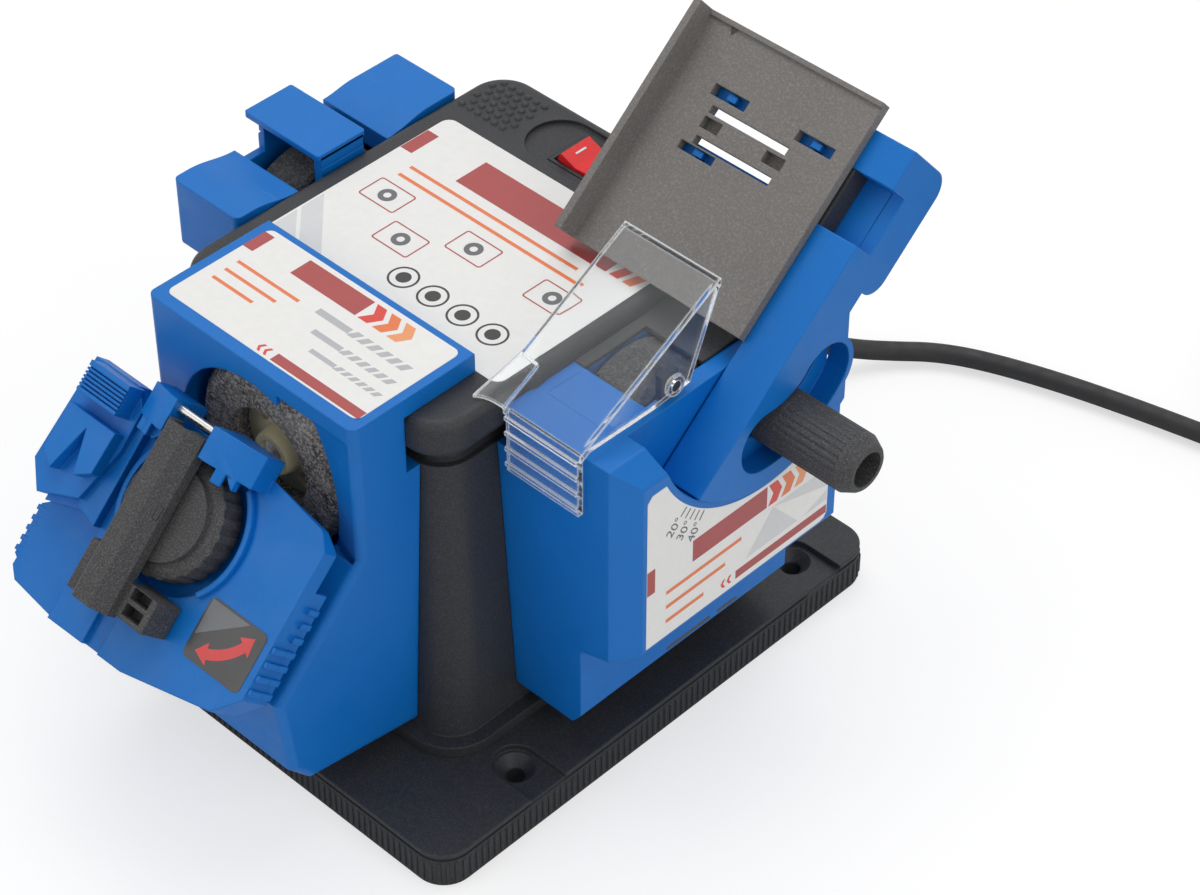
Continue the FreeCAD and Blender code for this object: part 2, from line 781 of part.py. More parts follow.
# Drill unit housing
lean_low = taper(foot_front, top_front, drill_low_z + 0) - seat_gap
lean_high = taper(foot_front, top_front, column_top) - seat_gap
root_half = math.sqrt(0.5)
floor_y = cradle_y + root_half * floor_deep
floor_z = cradle_z - root_half * floor_deep
toe_along = dim("toe_along", -48)
toe = (floor_y + root_half * toe_along, floor_z + root_half * toe_along)
knee = (drill_front, floor_z + (drill_front - floor_y))
hook_y = cover_front - seat_gap
hook_z = cover_top + seat_gap
side = [
    (lean_low, drill_low_z), (drill_nose_y, drill_nose_z), (drill_chin_y, drill_chin_z), toe, knee,
    (drill_front, hood_top), (hood_rear, hood_top), (hood_rear, hook_z), (hook_y, hook_z),
    (hook_y, column_top + seat_gap), (lean_high, column_top + seat_gap),
]
hull = prism("drill_block", "yz", side, -drill_half, drill_half)
hull = soften(
    "drill_edges", hull, 2.5, lambda a, b: abs(a.x - b.x) < 0.01 and (a.y + b.y) / 2 < hook_y.value - 3,
)
room = rod("wheel_room", "y", spindle_at, drill_front + 1.5, lean_high - 2, wheel_room)
back_way = rod("back_way", "y", spindle_at, drill_front, foot_front + 12, bush_radius + seat_gap + 1)
mouth = rod("mouth", "y", spindle_at, drill_front - 1, drill_front + 3, mouth_radius)
mouth_low = box(
    "mouth_low", (-mouth_radius, mouth_radius), (drill_front - 1, drill_front + 3), (knee[1] - 4, shaft_z),
)
facet = prism(
    "facet", "xy",
    [
        (10, drill_front + 7), (10, drill_front - 1), (drill_half - 2, drill_front - 1),
        (drill_half - 2, drill_front),
    ],
    knee[1] - 4, hood_top - 5,
)
pin_way = rod(
    "pin_way", "z", (pivot_x, pivot_y), -floor_deep - pin_deep, 1, pivot_radius + run_gap / 2, CRADLE,
)
node("drill_unit_housing", trim("drill_unit_housing", hull, room, back_way, mouth, mouth_low, facet, pin_way))

# Pin that the cradle swings on
node(
    "cradle_pivot_pin",
    rod(
        "cradle_pivot_pin", "z", (pivot_x, pivot_y), -floor_deep - pin_deep, knob_under - 1.2, pivot_radius,
        CRADLE,
    ),
)

# Swinging cradle
deck_points = [
    (cradle_left, 1.5), (14.5, 1.9), (cradle_right - 4, -1.2), (cradle_right, -5.5), (cradle_right, -47.5), (
        31.4, -54.6,
    ),
    (1.4, cradle_low + 0.4), (cradle_left, cradle_low),
]
deck = prism("deck", "xy", deck_points, -plate_thick, 0, CRADLE)
bevel_cut = prism(
    "deck_bevel", "yz", [(-6, -plate_thick - 1), (4, -plate_thick - 1), (4, 1.2)], cradle_left - 1,
    cradle_right + 1, CRADLE,
)
deck = trim("deck_bevelled", deck, bevel_cut)
skirt_points = [
    (cradle_right - 2.2, -16), (cradle_right, -16), (cradle_right, -47.5), (31.4, -54.6),
    (1.4, cradle_low + 0.4), (-14, cradle_low + 0.2), (-14, cradle_low + 2.4), (1, cradle_low + 2.8),
    (30, -52.2), (cradle_right - 2.2, -46.5),
]
apron = prism("apron", "xy", skirt_points, -skirt_deep, -plate_thick + 0.5, CRADLE)
arm_points = [(-50, 2.8), (-33, 2.8), (-28.5, -2), (-28.5, -14), (-33, -30), (-46, -35), (-52, -28)]
side_arm = prism("side_arm", "xy", arm_points, 0, 5, CRADLE)
arm_root = prism("arm_root", "xy", [(-34, -6), (-26, -4), (-26, -34), (-34, -32)], -plate_thick, 3, CRADLE)
wing = prism(
    "wing", "xy",
    [(-46, -35), (-34, -31), (-26.5, -31), (-26.5, cradle_low), (-44, cradle_low + 2), (-47, -56)],
    -plate_thick - 2, -2, CRADLE,
)
rib_block = box("rib_block", (-46, -31), (-6, 2.5), (4.5, 11), CRADLE)
gauge = prism(
    "gauge", "xy",
    [(-47.5, -10), (-29.5, -10), (-30, -22), (-35, -25), (-38.5, -13), (-43, -27), (-48, -24)], 4.5, 9,
    CRADLE,
)
posts = [
    box("post_left", (-27, bar_left - 0.5), (-2, 7), (-1, 12), CRADLE),
    box("post_right", (bar_right + 0.5, 14), (-2, 7), (-1, 12), CRADLE),
]
for tag, low in (("left", -22.2), ("right", 4.6)):
    posts.append(box(f"post_rib_{tag}", (low, low + 2.6), (-5.5, -1.9), (0, 14.5), CRADLE))
    posts.append(box(f"post_bar_{tag}", (low - 3, low + 5.6), (-5.5, -1.9), (6, 8.6), CRADLE))
grips = [
    box(
        f"grip_rib_{i}", (cradle_right - 0.1, cradle_right + 1.2), (-20 - 4 * i - 1.6, -20 - 4 * i),
        (-skirt_deep + 1, -plate_thick), CRADLE,
    )
    for i in range(7)
]
grips += [
    box(f"wing_rib_{i}", (-49, -45.5), (-39 - 3 * i - 1.4, -39 - 3 * i), (-plate_thick - 2, -2), CRADLE)
    for i in range(5)
]
frame_all = join("cradle_solid", deck, apron, side_arm, arm_root, wing, rib_block, gauge, *posts, *grips)
pocket_radius = dim("pocket_radius", 20)
knob_pocket = rod("knob_pocket", "z", (knob_x, knob_y), -floor_deep, bar_floor, pocket_radius, CRADLE)
deck_floor = rod(
    "knob_floor", "z", (knob_x, knob_y), -plate_thick - 3, knob_under - 1.2, pocket_radius + 1.5, CRADLE,
)
trough = box("trough", (-13.5, -7.5), (cradle_low - 1, -40), (-1.6, 1), CRADLE)
swing_hole = rod("swing_hole", "z", (pivot_x, pivot_y), -floor_deep - 1, 1, pivot_radius + run_gap, CRADLE)
rib_cuts = [
    box(f"rib_cut_{i}", (-47, -30), (-5 + 1.1 * i, -4.5 + 1.1 * i), (10, 12), CRADLE)
    for i in range(6)
]
stop_hole = rod("stop_hole", "x", (5, 9), bar_left - 5, bar_right + 5, 1.2 + run_gap / 2, CRADLE)
hollowed = join("cradle_floored", trim("cradle_pocketed", frame_all, knob_pocket), deck_floor)
node("drill_cradle", trim("drill_cradle", hollowed, trough, swing_hole, stop_hole, *rib_cuts))
node("drill_stop_pin", rod("drill_stop_pin", "x", (5, 9), bar_left - 5, bar_right + 5, 1.2, CRADLE))

# Drill holder
bar_mid = (bar_left + bar_right) / 2
bar_points = [
    (bar_left, bar_floor), (bar_left, bar_top - 4), (bar_mid - 3, bar_top), (bar_mid + 3, bar_top),
    (bar_right, bar_top - 4), (bar_right, bar_floor),
]
bar = prism("bar", "xz", bar_points, bar_low, bar_high, CRADLE)
ledge = box(
    "bar_ledge", (bar_left - 3, bar_left + 2), (bar_low, bar_low + 14), (swing_gap, bar_floor + 3), CRADLE,
)
heel = box("bar_heel", (bar_right - 1, 9), (bar_low + 1, bar_low + 10), (swing_gap, bar_floor + 1.5), CRADLE)
groove_mid = bar_mid - 1.4
groove = box(
    "drill_groove", (groove_mid - groove_wide / 2, groove_mid + groove_wide / 2),
    (bar_low - 1, bar_high + 1), (bar_floor - 0.1, bar_floor + groove_high), CRADLE,
)
knob_stud = dim("knob_stud", 1.8)
stud_way = rod("stud_way", "z", (knob_x, knob_y), bar_floor - 1, bar_top - 2.5, knob_stud + run_gap, CRADLE)
windows = [
    box(
        f"window_{i}", (bar_right + 2, bar_right + 8.5), (bar_low + 2.2 + 4.4 * i, bar_low + 5.4 + 4.4 * i),
        (bar_floor - 3, bar_floor + 3), CRADLE,
    )
    for i in range(2)
]
node("drill_holder", trim("drill_holder", join("holder_solid", bar, ledge, heel), groove, stud_way, *windows))

# Knob under the holder's bar
knob_top = bar_floor - swing_gap
dial = turned("dial", "z", (knob_x, knob_y), [
    (0, knob_under), (knob_radius - 1.5, knob_under), (knob_radius, knob_under + 1.5), (
        knob_radius, knob_top - 2.5,
    ),
    (knob_radius - 2, knob_top - 1.5), (knob_radius - 4, knob_top - 1.5), (knob_radius - 4, knob_top), (
        0, knob_top,
    ),
], CRADLE)
knob_pin = rod("knob_pin", "z", (knob_x, knob_y), knob_top - 1, bar_top - 3, knob_stud, CRADLE)
flutes = []
for i in range(24):
    turn = math.radians(15 * i)
    spot = (knob_x + (knob_radius + 0.9) * math.cos(turn), knob_y + (knob_radius + 0.9) * math.sin(turn))
    flutes.append(rod(f"flute_{i}", "z", spot, knob_under - 1, knob_top - 2.4, 1.6, CRADLE))
node("holder_knob", join("holder_knob", trim("dial_fluted", dial, *flutes), knob_pin))

# Chisel unit housing
right_low = taper(foot_half, top_half, chisel_low) + seat_gap
right_high = taper(foot_half, top_half, column_top) + seat_gap
cover_side = cover_half + seat_gap
section = [
    (right_low, chisel_low), (chisel_inner - 3, chisel_low), (chisel_inner, chisel_low + 4), (
        chisel_inner, chisel_step,
    ),
    (chisel_outer, chisel_step + 5), (chisel_outer, chisel_top - 6), (chisel_outer - 6, chisel_top),
    (cover_side, chisel_top), (cover_side, column_top + seat_gap), (right_high, column_top + seat_gap),
]
block = prism("chisel_block", "xz", section, chisel_front, chisel_rear)
block = soften(
    "chisel_edges", block, 1.5, lambda a, b: abs(a.y - b.y) > 5 and (a.x + b.x) / 2 > cover_side.value + 1,
)
front_chamfer = prism(
    "front_chamfer", "xy",
    [
        (chisel_outer - 7, chisel_front - 1), (chisel_outer + 1, chisel_front - 1),
        (chisel_outer + 1, chisel_front + 7),
    ],
    chisel_low - 1, chisel_top + 1,
)
wheel_well = box(
    "wheel_well", (well_left, well_right), (shaft_y - wheel_radius - 2, shaft_y + wheel_radius + 2),
    (shaft_z - wheel_radius - 2, chisel_top + 1),
)
boss_way = rod("chisel_bush_way", "x", shaft_at, foot_half - 8, well_left + 1, bush_radius + 1)
arc_recess = rod(
    "arc_recess", "x", (tilt_y, tilt_z), arm_inner - swing_gap, chisel_outer + 5, arm_radius + swing_gap,
)
clamp_turn = math.radians(-75.5)
clamp_at = (tilt_y + slot_radius * math.cos(clamp_turn), tilt_z + slot_radius * math.sin(clamp_turn))
clamp_way = rod("clamp_way", "x", clamp_at, well_right - 5, arm_inner, stud_radius + run_gap)
node(
    "chisel_unit_housing",
    trim("chisel_unit_housing", block, front_chamfer, wheel_well, boss_way, arc_recess, clamp_way),
)

# Tilting arm, in the frame of the table
def low_on_tail(a, b):
    """The two lower cross edges of the arm's tail."""
    drop = math.radians(table_angle.value)
    level = (math.cos(drop) * (a.z + b.z - 2 * tilt_z.value) - math.sin(drop) * (a.y + b.y - 2 * tilt_y.value)) / 2
    return abs(a.x - b.x) > 5 and level < 1 - tail_deep.value


round_end = rod("round_end", "x", (0, 0), arm_inner, arm_outer, arm_radius, TABLE)
table_floor = -table_thick - 0.3
over = box(
    "over_table", (arm_inner - 1, arm_outer + 1), (-arm_radius - 1, arm_radius + 1),
    (table_floor, arm_radius + 1), TABLE,
)
round_end = trim("round_end_cut", round_end, over)
rear_cut = box("arm_rear_cut", (arm_inner - 1, arm_outer + 1), (arm_rear, arm_rear + 30), (60, 160))
round_end = trim("round_end_flat", round_end, rear_cut)
root = box("tail_neck", (arm_inner, arm_outer), (-6, 30), (-tail_root, table_floor), TABLE)
tail = box("tail", (arm_inner, arm_outer), (26, tail_long), (-tail_deep, table_floor), TABLE)
tail = soften("tail_round", tail, 6, low_on_tail)
pocket_low = 34.6
pocket_high = 51
tail_notch = box(
    "tail_notch", (arm_inner - 1, arm_outer + 1), (pocket_low, pocket_high), (-11, table_floor + 1), TABLE,
)
tail_pocket = box(
    "tail_pocket", (arm_inner - 1, arm_outer - 4), (pocket_low, pocket_high), (-19, table_floor + 1), TABLE,
)
tray_low = dim("tray_low", 14)
tray_thick = dim("tray_thick", 3.6)
tray = box(
    "tray", (table_left + 6, arm_inner + 1), (tray_low, tail_long), (table_floor - tray_thick, table_floor),
    TABLE,
)
lugs = [
    box(f"lug_{i}", (x, x + 3), (y, y + 1.8), (table_floor - 1, -1), TABLE)
    for i, (x, y) in enumerate(((38, 50.1), (38, 33.8), (66.5, 50.2)))
]
tray_window = box("tray_window", (34, 66), (37, 48), (-20, 1), TABLE)
slot_from = -97
slot_to = -40


def arc_slot(name, half, low):
    """A round-ended slot about the tilt axis, open at the arm's outer face."""
    parts = []
    for tag, turn in (("a", slot_from), ("b", slot_to)):
        turn = math.radians(turn)
        spot = (tilt_y + slot_radius * math.cos(turn), tilt_z + slot_radius * math.sin(turn))
        parts.append(rod(f"{name}_end_{tag}", "x", spot, low, arm_outer + 1, half))
    ring = doc.addObject("Part::Cylinder", name + "_ring")
    bind(ring, "Radius", slot_radius + half)
    bind(ring, "Height", arm_outer + 1 - low)
    ring.Angle = slot_to - slot_from
    place(ring, WORLD, (low, tilt_y, tilt_z), TURNS["yz"].multiply(Rotation(Vector(0, 0, 1), slot_from)))
    core = rod(f"{name}_core", "x", (tilt_y, tilt_z), low - 1, arm_outer + 2, slot_radius - half)
    return join(name, trim(f"{name}_arc", ring, core), *parts)


slot_floor = arm_outer - slot_deep
arc_cuts = [
    arc_slot("clamp_track", slot_half, slot_floor),
    arc_slot("stud_slot", stud_radius + 0.4, arm_inner - 1),
]
frame_arm = join("arm_solid", round_end, root, tail, tray, *lugs)
node("tilt_arm", trim("tilt_arm", frame_arm, tail_notch, tail_pocket, tray_window, *arc_cuts))

# Sliding chisel table
leaf = box("leaf", (table_left, table_right), (0, table_long), (-table_thick, 0), TABLE)
fence = box(
    "fence", (table_left, table_left + fence_thick), (0, table_long), (-table_thick, fence_high), TABLE,
)
back_lip = box(
    "back_lip", (table_left, table_right), (table_long - 1.4, table_long), (-table_thick, 0.8), TABLE,
)
slots = []
for i, (x0, x1, y0, y1) in enumerate(
    (
        (33.6, 45.2, 49.4, 52.5), (33.6, 45.4, 33.4, 35.8), (62, 74, 49.6, 52.5), (36.2, 62.2, 45, 47.2),
        (36.8, 62.6, 36.2, 38.6), (36, 42, 40.8, 44), (57, 63.4, 40.8, 44),
    ),
):
    slots.append(box(f"leaf_slot_{i}", (x0, x1), (y0, y1), (-table_thick - 1, 2), TABLE))
node("chisel_table", trim("chisel_table", join("table_solid", leaf, fence, back_lip), *slots))

# Clamp knob of the arm
knob_face = slot_floor + 0.3
grip = turned("grip_turned", "x", clamp_at, [
    (0, knob_face), (grip_radius, knob_face), (grip_radius, grip_end - 3.8), (
        grip_radius - 1.6, grip_end - 0.6,
    ),
    (grip_radius - 2.2, grip_end), (5, grip_end), (5, grip_end - 14), (0, grip_end - 14),
])
grip_flutes = []
for i in range(28):
    turn = math.radians(360 / 28 * i)
    spot = (
        clamp_at[0] + (grip_radius + 0.4) * math.cos(turn),
        clamp_at[1] + (grip_radius + 0.4) * math.sin(turn),
    )
    grip_flutes.append(rod(f"grip_flute_{i}", "x", spot, arm_outer + 1, grip_end - 4.4, 0.7))
clamp_stud = rod("clamp_stud", "x", clamp_at, well_right + 0.5, knob_face + 1, stud_radius)
node("clamp_knob", join("clamp_knob", trim("grip_fluted", grip, *grip_flutes), clamp_stud))

# Clear guard over the chisel wheel
drop = guard_thick * 1.15
pane = prism(
    "pane", "yz",
    [
        (guard_front_y, guard_front_z), (guard_front_y, guard_front_z - drop),
        (guard_rear_y, guard_rear_z - drop), (guard_rear_y, guard_rear_z),
    ],
    guard_left, guard_right,
)
climb = (guard_rear_z - guard_front_z) / (guard_rear_y - guard_front_y)
flap_z = guard_front_z + climb * (guard_flap_y - guard_front_y)
flap = prism("flap", "yz", [
    (guard_flap_y, flap_z), (guard_flap_y, flap_z - drop), (guard_rear_y, guard_rear_z - drop), (
        guard_rear_y, guard_rear_z,
    ),
], guard_flap_left, guard_left + 1)
cheek_low = chisel_top + 1
cheek = prism(
    "cheek", "yz",
    [
        (guard_front_y + 2, guard_front_z - 0.5), (guard_pin_y - 8, cheek_low),
        (guard_pin_y + 6, cheek_low + 1), (guard_rear_y, guard_rear_z - 1),
    ],
    guard_right - guard_thick, guard_right,
)
front_lip = box(
    "front_lip", (guard_left + 1, guard_right - 1), (guard_front_y, guard_front_y + 1.7),
    (guard_lip_low, guard_front_z - 0.5),
)
ribs = [
    box(
        f"lip_rib_{i}", (guard_left + 1, guard_right - 1), (guard_front_y - 0.7, guard_front_y + 0.5),
        (guard_lip_low + 2 + 5 * i, guard_lip_low + 3.2 + 5 * i),
    )
    for i in range(4)
]
hinge_boss = rod("hinge_boss", "x", (guard_pin_y, guard_pin_z), guard_right - guard_thick, guard_right + 1, 3)
hinge_hole = rod(
    "hinge_hole", "x", (guard_pin_y, guard_pin_z), guard_right - 5, guard_right + 5, 1.5 + run_gap,
)
node(
    "wheel_guard",
    trim("wheel_guard", join("guard_solid", pane, flap, cheek, front_lip, hinge_boss, *ribs), hinge_hole),
)
ear = box(
    "guard_ear", (guard_right - guard_thick - 2.2, guard_right - guard_thick - seat_gap),
    (guard_pin_y - 3, guard_pin_y + 3), (chisel_top, guard_pin_z + 3),
)
axle = rod("guard_axle", "x", (guard_pin_y, guard_pin_z), guard_right - guard_thick - 1, guard_right + 1, 1.5)
node("guard_hinge_post", join("guard_hinge_post", ear, axle))

# Knife unit housing
left_high = -right_high
knife_side = -cover_half - seat_gap
lobe = box("knife_lobe", (knife_outer, knife_side), (knife_front, knife_rear), (knife_low, knife_top))
lobe = soften(
    "knife_edges", lobe, 2, lambda a,
    b: abs(a.y - b.y) < 0.01 and abs(a.x - b.x) < 0.01 or (a.x + b.x) / 2 < knife_outer.value + 1,
)
drum_low = shaft_z - wheel_radius - 4
left_at_drum = -taper(foot_half, top_half, drum_low) - seat_gap
drum = prism(
    "knife_drum", "xz",
    [
        (left_high, column_top - 0), (left_at_drum, drum_low), (knife_outer + 4, drum_low),
        (knife_outer, drum_low + 8), (knife_outer, knife_low + 1), (knife_side, knife_low + 1),
        (knife_side, column_top + seat_gap),
    ],
    shaft_y - wheel_radius - 4, shaft_y + wheel_radius + 4,
)
knife_room_x = (knife_outer + 2.5, knife_side - 3)
wheel_void = rod("knife_room", "x", shaft_at, *knife_room_x, wheel_radius + 1.5)
slot_front = dim("slot_front", -20)
slot_rear = dim("slot_rear", 12)
throat = box("knife_throat", knife_room_x, (slot_front, slot_rear), (shaft_z, knife_top + 1))
knife_bush = rod("knife_bush_way", "x", shaft_at, knife_side - 5, -foot_half + 8, bush_radius + 1)
ramp_cut = prism(
    "ramp_cut", "yz",
    [
        (knife_front - 1, knife_top - 4), (knife_front - 1, knife_top + 1), (slot_front, knife_top + 1),
        (slot_front, knife_top),
    ],
    knife_outer - 1, knife_side + 6,
)
knife_way_z = (knife_top - 6, knife_top + 1)
knife_ways = [
    box("knife_way_front", (knife_outer - 1, knife_side + 6), (slot_front, bridge_front + 1), knife_way_z),
    box("knife_way_rear", (knife_outer - 1, knife_side + 6), (bridge_rear - 1, slot_rear), knife_way_z),
]
node(
    "knife_unit_housing",
    trim(
        "knife_unit_housing", join("knife_solid", lobe, drum), wheel_void, throat, knife_bush, ramp_cut,
        *knife_ways,
    ),
)

# Bridge between the two knife slots
bridge_x = (knife_outer - 4, knife_side)
slab_bridge = box("bridge_slab", bridge_x, (bridge_front, bridge_rear), (bridge_top - 3, bridge_top))
leg_out = box(
    "bridge_leg_out", (knife_outer + 0.5, knife_room_x[0]), (bridge_front + 1, bridge_rear - 1),
    (knife_top, bridge_top - 2),
)
leg_in = box(
    "bridge_leg_in", (knife_room_x[1], knife_side), (bridge_front + 1, bridge_rear - 1),
    (knife_top, bridge_top - 2),
)
node("knife_bridge", join("knife_bridge", slab_bridge, leg_out, leg_in))

# Strain relief of the lead
relief_start = taper(foot_rear, top_rear, relief_z) - 6
relief = turned("relief_turned", "y", (0, relief_z), [
    (0, relief_start), (relief_radius - 1, relief_start), (relief_radius - 1, relief_start + 7),
    (relief_radius + 1.5, relief_start + 7), (relief_radius + 1.5, relief_start + 10), (
        relief_radius, relief_start + 10,
    ),
    (cord_radius + 1.2, relief_end), (0, relief_end),
])
rings = []
for i in range(5):
    low = relief_start + 14 + 4 * i
    ring_cut = rod(f"relief_ring_{i}", "y", (0, relief_z), low, low + 1.8, relief_radius + 2)
    rings.append(
        trim(
            f"relief_groove_{i}", ring_cut,
            rod(f"relief_core_{i}", "y", (0, relief_z), low - 1, low + 3, cord_radius + 0.9),
        ),
    )
node("strain_relief", trim("strain_relief", relief, *rings))

# Mains lead: straight runs joined by tangent arcs
COIL_START = Vector(154, 192.6, 4.2)
LEAD = [
    Vector(0, relief_end.value, relief_z.value), Vector(0, 100, relief_z.value), Vector(2.5, 114.5, 19.5),
    Vector(8, 127.5, 12), Vector(15, 138.5, 6.8), Vector(22.3, 148, 4.6), Vector(31, 156.6, 4.2),
    Vector(43.5, 163.6, 4.2), Vector(65, 171.4, 4.2), Vector(88.5, 177.8, 4.2), Vector(111, 183, 4.2),
    Vector(133, 187.8, 4.2), COIL_START,
]


def lead_wire(points):
    """Straight runs with an arc at each turn as large as its runs allow."""
    edges = []
    here = points[0]
    radii = []
    for before, at, after in zip(points, points[1:], points[2:]):
        to = (at - before).normalize()
        on = (after - at).normalize()
        angle = to.getAngle(on)
        shorter = min((at - before).Length, (after - at).Length)
        if math.degrees(angle) < 0.3:
            continue
        radius = 0.45 * shorter / math.tan(angle / 2)
        reach = 0.45 * shorter
        start = at - to * reach
        end = at + on * reach
        inward = (on - to).normalize()
        middle = at + inward * (radius / math.cos(angle / 2) - radius)
        edges.append(Part.LineSegment(here, start).toShape())
        edges.append(Part.Arc(start, middle, end).toShape())
        here = end
        radii.append(radius)
    edges.append(Part.LineSegment(here, points[-1]).toShape())
    print("lead radii", [round(r) for r in radii])
    return Part.Wire(edges)


def tube(wire, radius):
    """A round tube along a wire, its volume compared with section times length."""
    edge = wire.Edges[0]
    start = edge.valueAt(edge.FirstParameter)
    along = edge.tangentAt(edge.FirstParameter)
    ring = Part.Wire([Part.makeCircle(radius, start, along)])
    solid = wire.makePipeShell([ring], True, False)
    expected = math.pi * radius ** 2 * wire.Length
    print("tube volume over section times length", round(solid.Volume / expected, 4))
    return solid


node("mains_lead", feature("mains_lead", tube(lead_wire(LEAD), cord_radius.value)))

# Coil of the length put away: two layers, spiralling in below and out above
coil_turns = 3
coil_pitch = 2 * cord_radius.value + 0.9
coil_outer = 40.0
layer_rise = 2 * cord_radius.value + 0.7
heading = (LEAD[-1] - LEAD[-2]).normalize()
start_turn = math.atan2(-heading.x, heading.y)
coil_centre = COIL_START - Vector(math.cos(start_turn), math.sin(start_turn), 0) * coil_outer
in_end = 2 * math.pi * coil_turns
climb_end = in_end + math.pi
coil_end = climb_end + 2 * math.pi * coil_turns + math.pi


def coil_point(turn):
    """A point of the coil after some angle from its start."""
    rate = coil_pitch / (2 * math.pi)
    turn_back = (in_end + climb_end) / 2
    radius = coil_outer - rate * turn_back + rate * abs(turn - turn_back)
    share = min(max((turn - in_end) / math.pi, 0.0), 1.0)
    lift = layer_rise * (share - math.sin(2 * math.pi * share) / (2 * math.pi))
    a = start_turn + turn
    return coil_centre + Vector(radius * math.cos(a), radius * math.sin(a), lift)


def coil_tangent(turn):
    step = 1e-4
    return (coil_point(turn + step) - coil_point(turn - step)).normalize()


def tangent_arc(start, along, end):
    chord = end - start
    unit = Vector(chord).normalize()
    bulge = along - unit * along.dot(unit)
    if bulge.Length < 1e-7:
        return Part.LineSegment(start, end).toShape()
    sag = chord.Length / 2 * math.tan(along.getAngle(chord) / 2)
    return Part.Arc(start, (start + end) * 0.5 + bulge.normalize() * sag, end).toShape()


def biarc(p0, t0, p1, t1):
    """Two arcs that leave one point and reach another along given directions."""
    v = p1 - p0
    t = t0 + t1
    k = 2 * (1 - t0.dot(t1))
    d = (-v.dot(t) + math.sqrt(v.dot(t) ** 2 + k * v.dot(v))) / k
    mid = (p0 + p1 + (t0 - t1) * d) * 0.5
    last = tangent_arc(p1, -t1, mid)
    first = tangent_arc(p0, t0, mid)
    return [first, last]


quarter = math.pi / 2
steps = round(coil_end / quarter)
coil_edges = []
stub = 24.0
for i in range(steps):
    a = i * quarter
    b = a + quarter
    t0 = heading if i == 0 else coil_tangent(a)
    coil_edges += biarc(coil_point(a), t0, coil_point(b), coil_tangent(b))
coil_finish = coil_point(coil_end)
coil_out = coil_tangent(coil_end)
plug_start = coil_finish + coil_out * stub
coil_edges.append(Part.LineSegment(coil_finish, plug_start).toShape())
coil_wire = Part.Wire(Part.__sortEdges__(coil_edges))
node("lead_coil", feature("lead_coil", tube(coil_wire, cord_radius.value)))
samples = [coil_point(coil_end * i / 600) for i in range(601)]
turn_gap = min(
    (samples[i] - samples[j]).Length
    for i in range(601)
    for j in range(i + 40, 601)
)
print("least gap of the coil to itself", round(turn_gap - 2 * cord_radius.value, 2))

# Tie round the coil
tie_turn = start_turn + math.pi * 0.75
tie_wide = dim("tie_wide", 8)
tie_thick = dim("tie_thick", 0.7)
inside_low = (coil_point((in_end + climb_end) / 2) - coil_centre).Length - cord_radius.value - 1.5
inside_high = coil_outer + coil_pitch / 2 + cord_radius.value + 0.4
tie_base = COIL_START.z - cord_radius.value
tie_top = COIL_START.z + layer_rise + cord_radius.value + 0.3
band = Part.makeBox(
    inside_high - inside_low + 2 * tie_thick.value, tie_wide.value,
    tie_top - tie_base + 0.3 + 2 * tie_thick.value,
)
gap = Part.makeBox(
    inside_high - inside_low, tie_wide.value, tie_top - tie_base + 0.3,
    Vector(tie_thick.value, 0, tie_thick.value),
)
tie_spot = Placement(
    Vector(coil_centre.x, coil_centre.y, tie_base - 0.3 - tie_thick.value),
    Rotation(Vector(0, 0, 1), math.degrees(tie_turn)),
)
tie_offset = Placement(Vector(inside_low - tie_thick.value, -tie_wide.value / 2, 0), Rotation())
node("coil_tie", feature("coil_tie", band.cut(gap), tie_spot.multiply(tie_offset)))

# Two-pin plug at the end of the lead
plug_long = dim("plug_long", 34)
plug_half = dim("plug_half", 17)
plug_thick = dim("plug_thick", 18)
pin_long = dim("pin_long", 19)
pin_pitch = dim("pin_pitch", 19)
pin_radius = dim("pin_radius", 2.4)
plug_frame = Placement(plug_start, Rotation(Vector(1, 0, 0), coil_out))
neck_ring = Part.makeCone(cord_radius.value + 1, cord_radius.value + 3, 12, Vector(), Vector(1, 0, 0))
corners = [
    Vector(10, -7, 0), Vector(18, -plug_half.value, 0), Vector(10 + plug_long.value, -plug_half.value, 0),
    Vector(10 + plug_long.value, plug_half.value, 0), Vector(18, plug_half.value, 0), Vector(10, 7, 0),
]
plug_face = Part.Face(Part.makePolygon(corners + corners[:1]))
plug_solid = plug_face.extrude(Vector(0, 0, plug_thick.value))
plug_solid.translate(Vector(0, 0, -plug_thick.value / 2))
plug_solid = plug_solid.makeFillet(
    3, [e for e in plug_solid.Edges if abs(e.tangentAt(e.FirstParameter).z) < 0.01],
)
node("plug_body", feature("plug_body", plug_solid.fuse(neck_ring).removeSplitter(), plug_frame))
plug_pins = []
for s in (-1, 1):
    pin = Part.makeCylinder(
        pin_radius.value, pin_long.value, Vector(10 + plug_long.value, s * pin_pitch.value / 2, 0),
        Vector(1, 0, 0),
    )
    plug_pins.append(pin)
node("plug_pins", feature("plug_pins", Part.makeCompound(plug_pins), plug_frame))

# Check every object, then write each sub-part
doc.recompute()
failed = [obj.Name for obj in doc.Objects if "Invalid" in obj.State or "Error" in obj.State]
failed += [obj.Label for obj in nodes if obj.Shape.isNull() or not obj.Shape.isValid()]
if failed:
    raise SystemExit("failed: " + ", ".join(failed))
os.makedirs("parts", exist_ok=True)
for obj in nodes:
    print(obj.Label, len(obj.Shape.Solids), "solid", round(obj.Shape.Volume), "mm3")
    obj.Shape.exportStep(f"parts/{obj.Label}.step")
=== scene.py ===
import json
import math

import bmesh
import bpy
from mathutils import Matrix, Vector


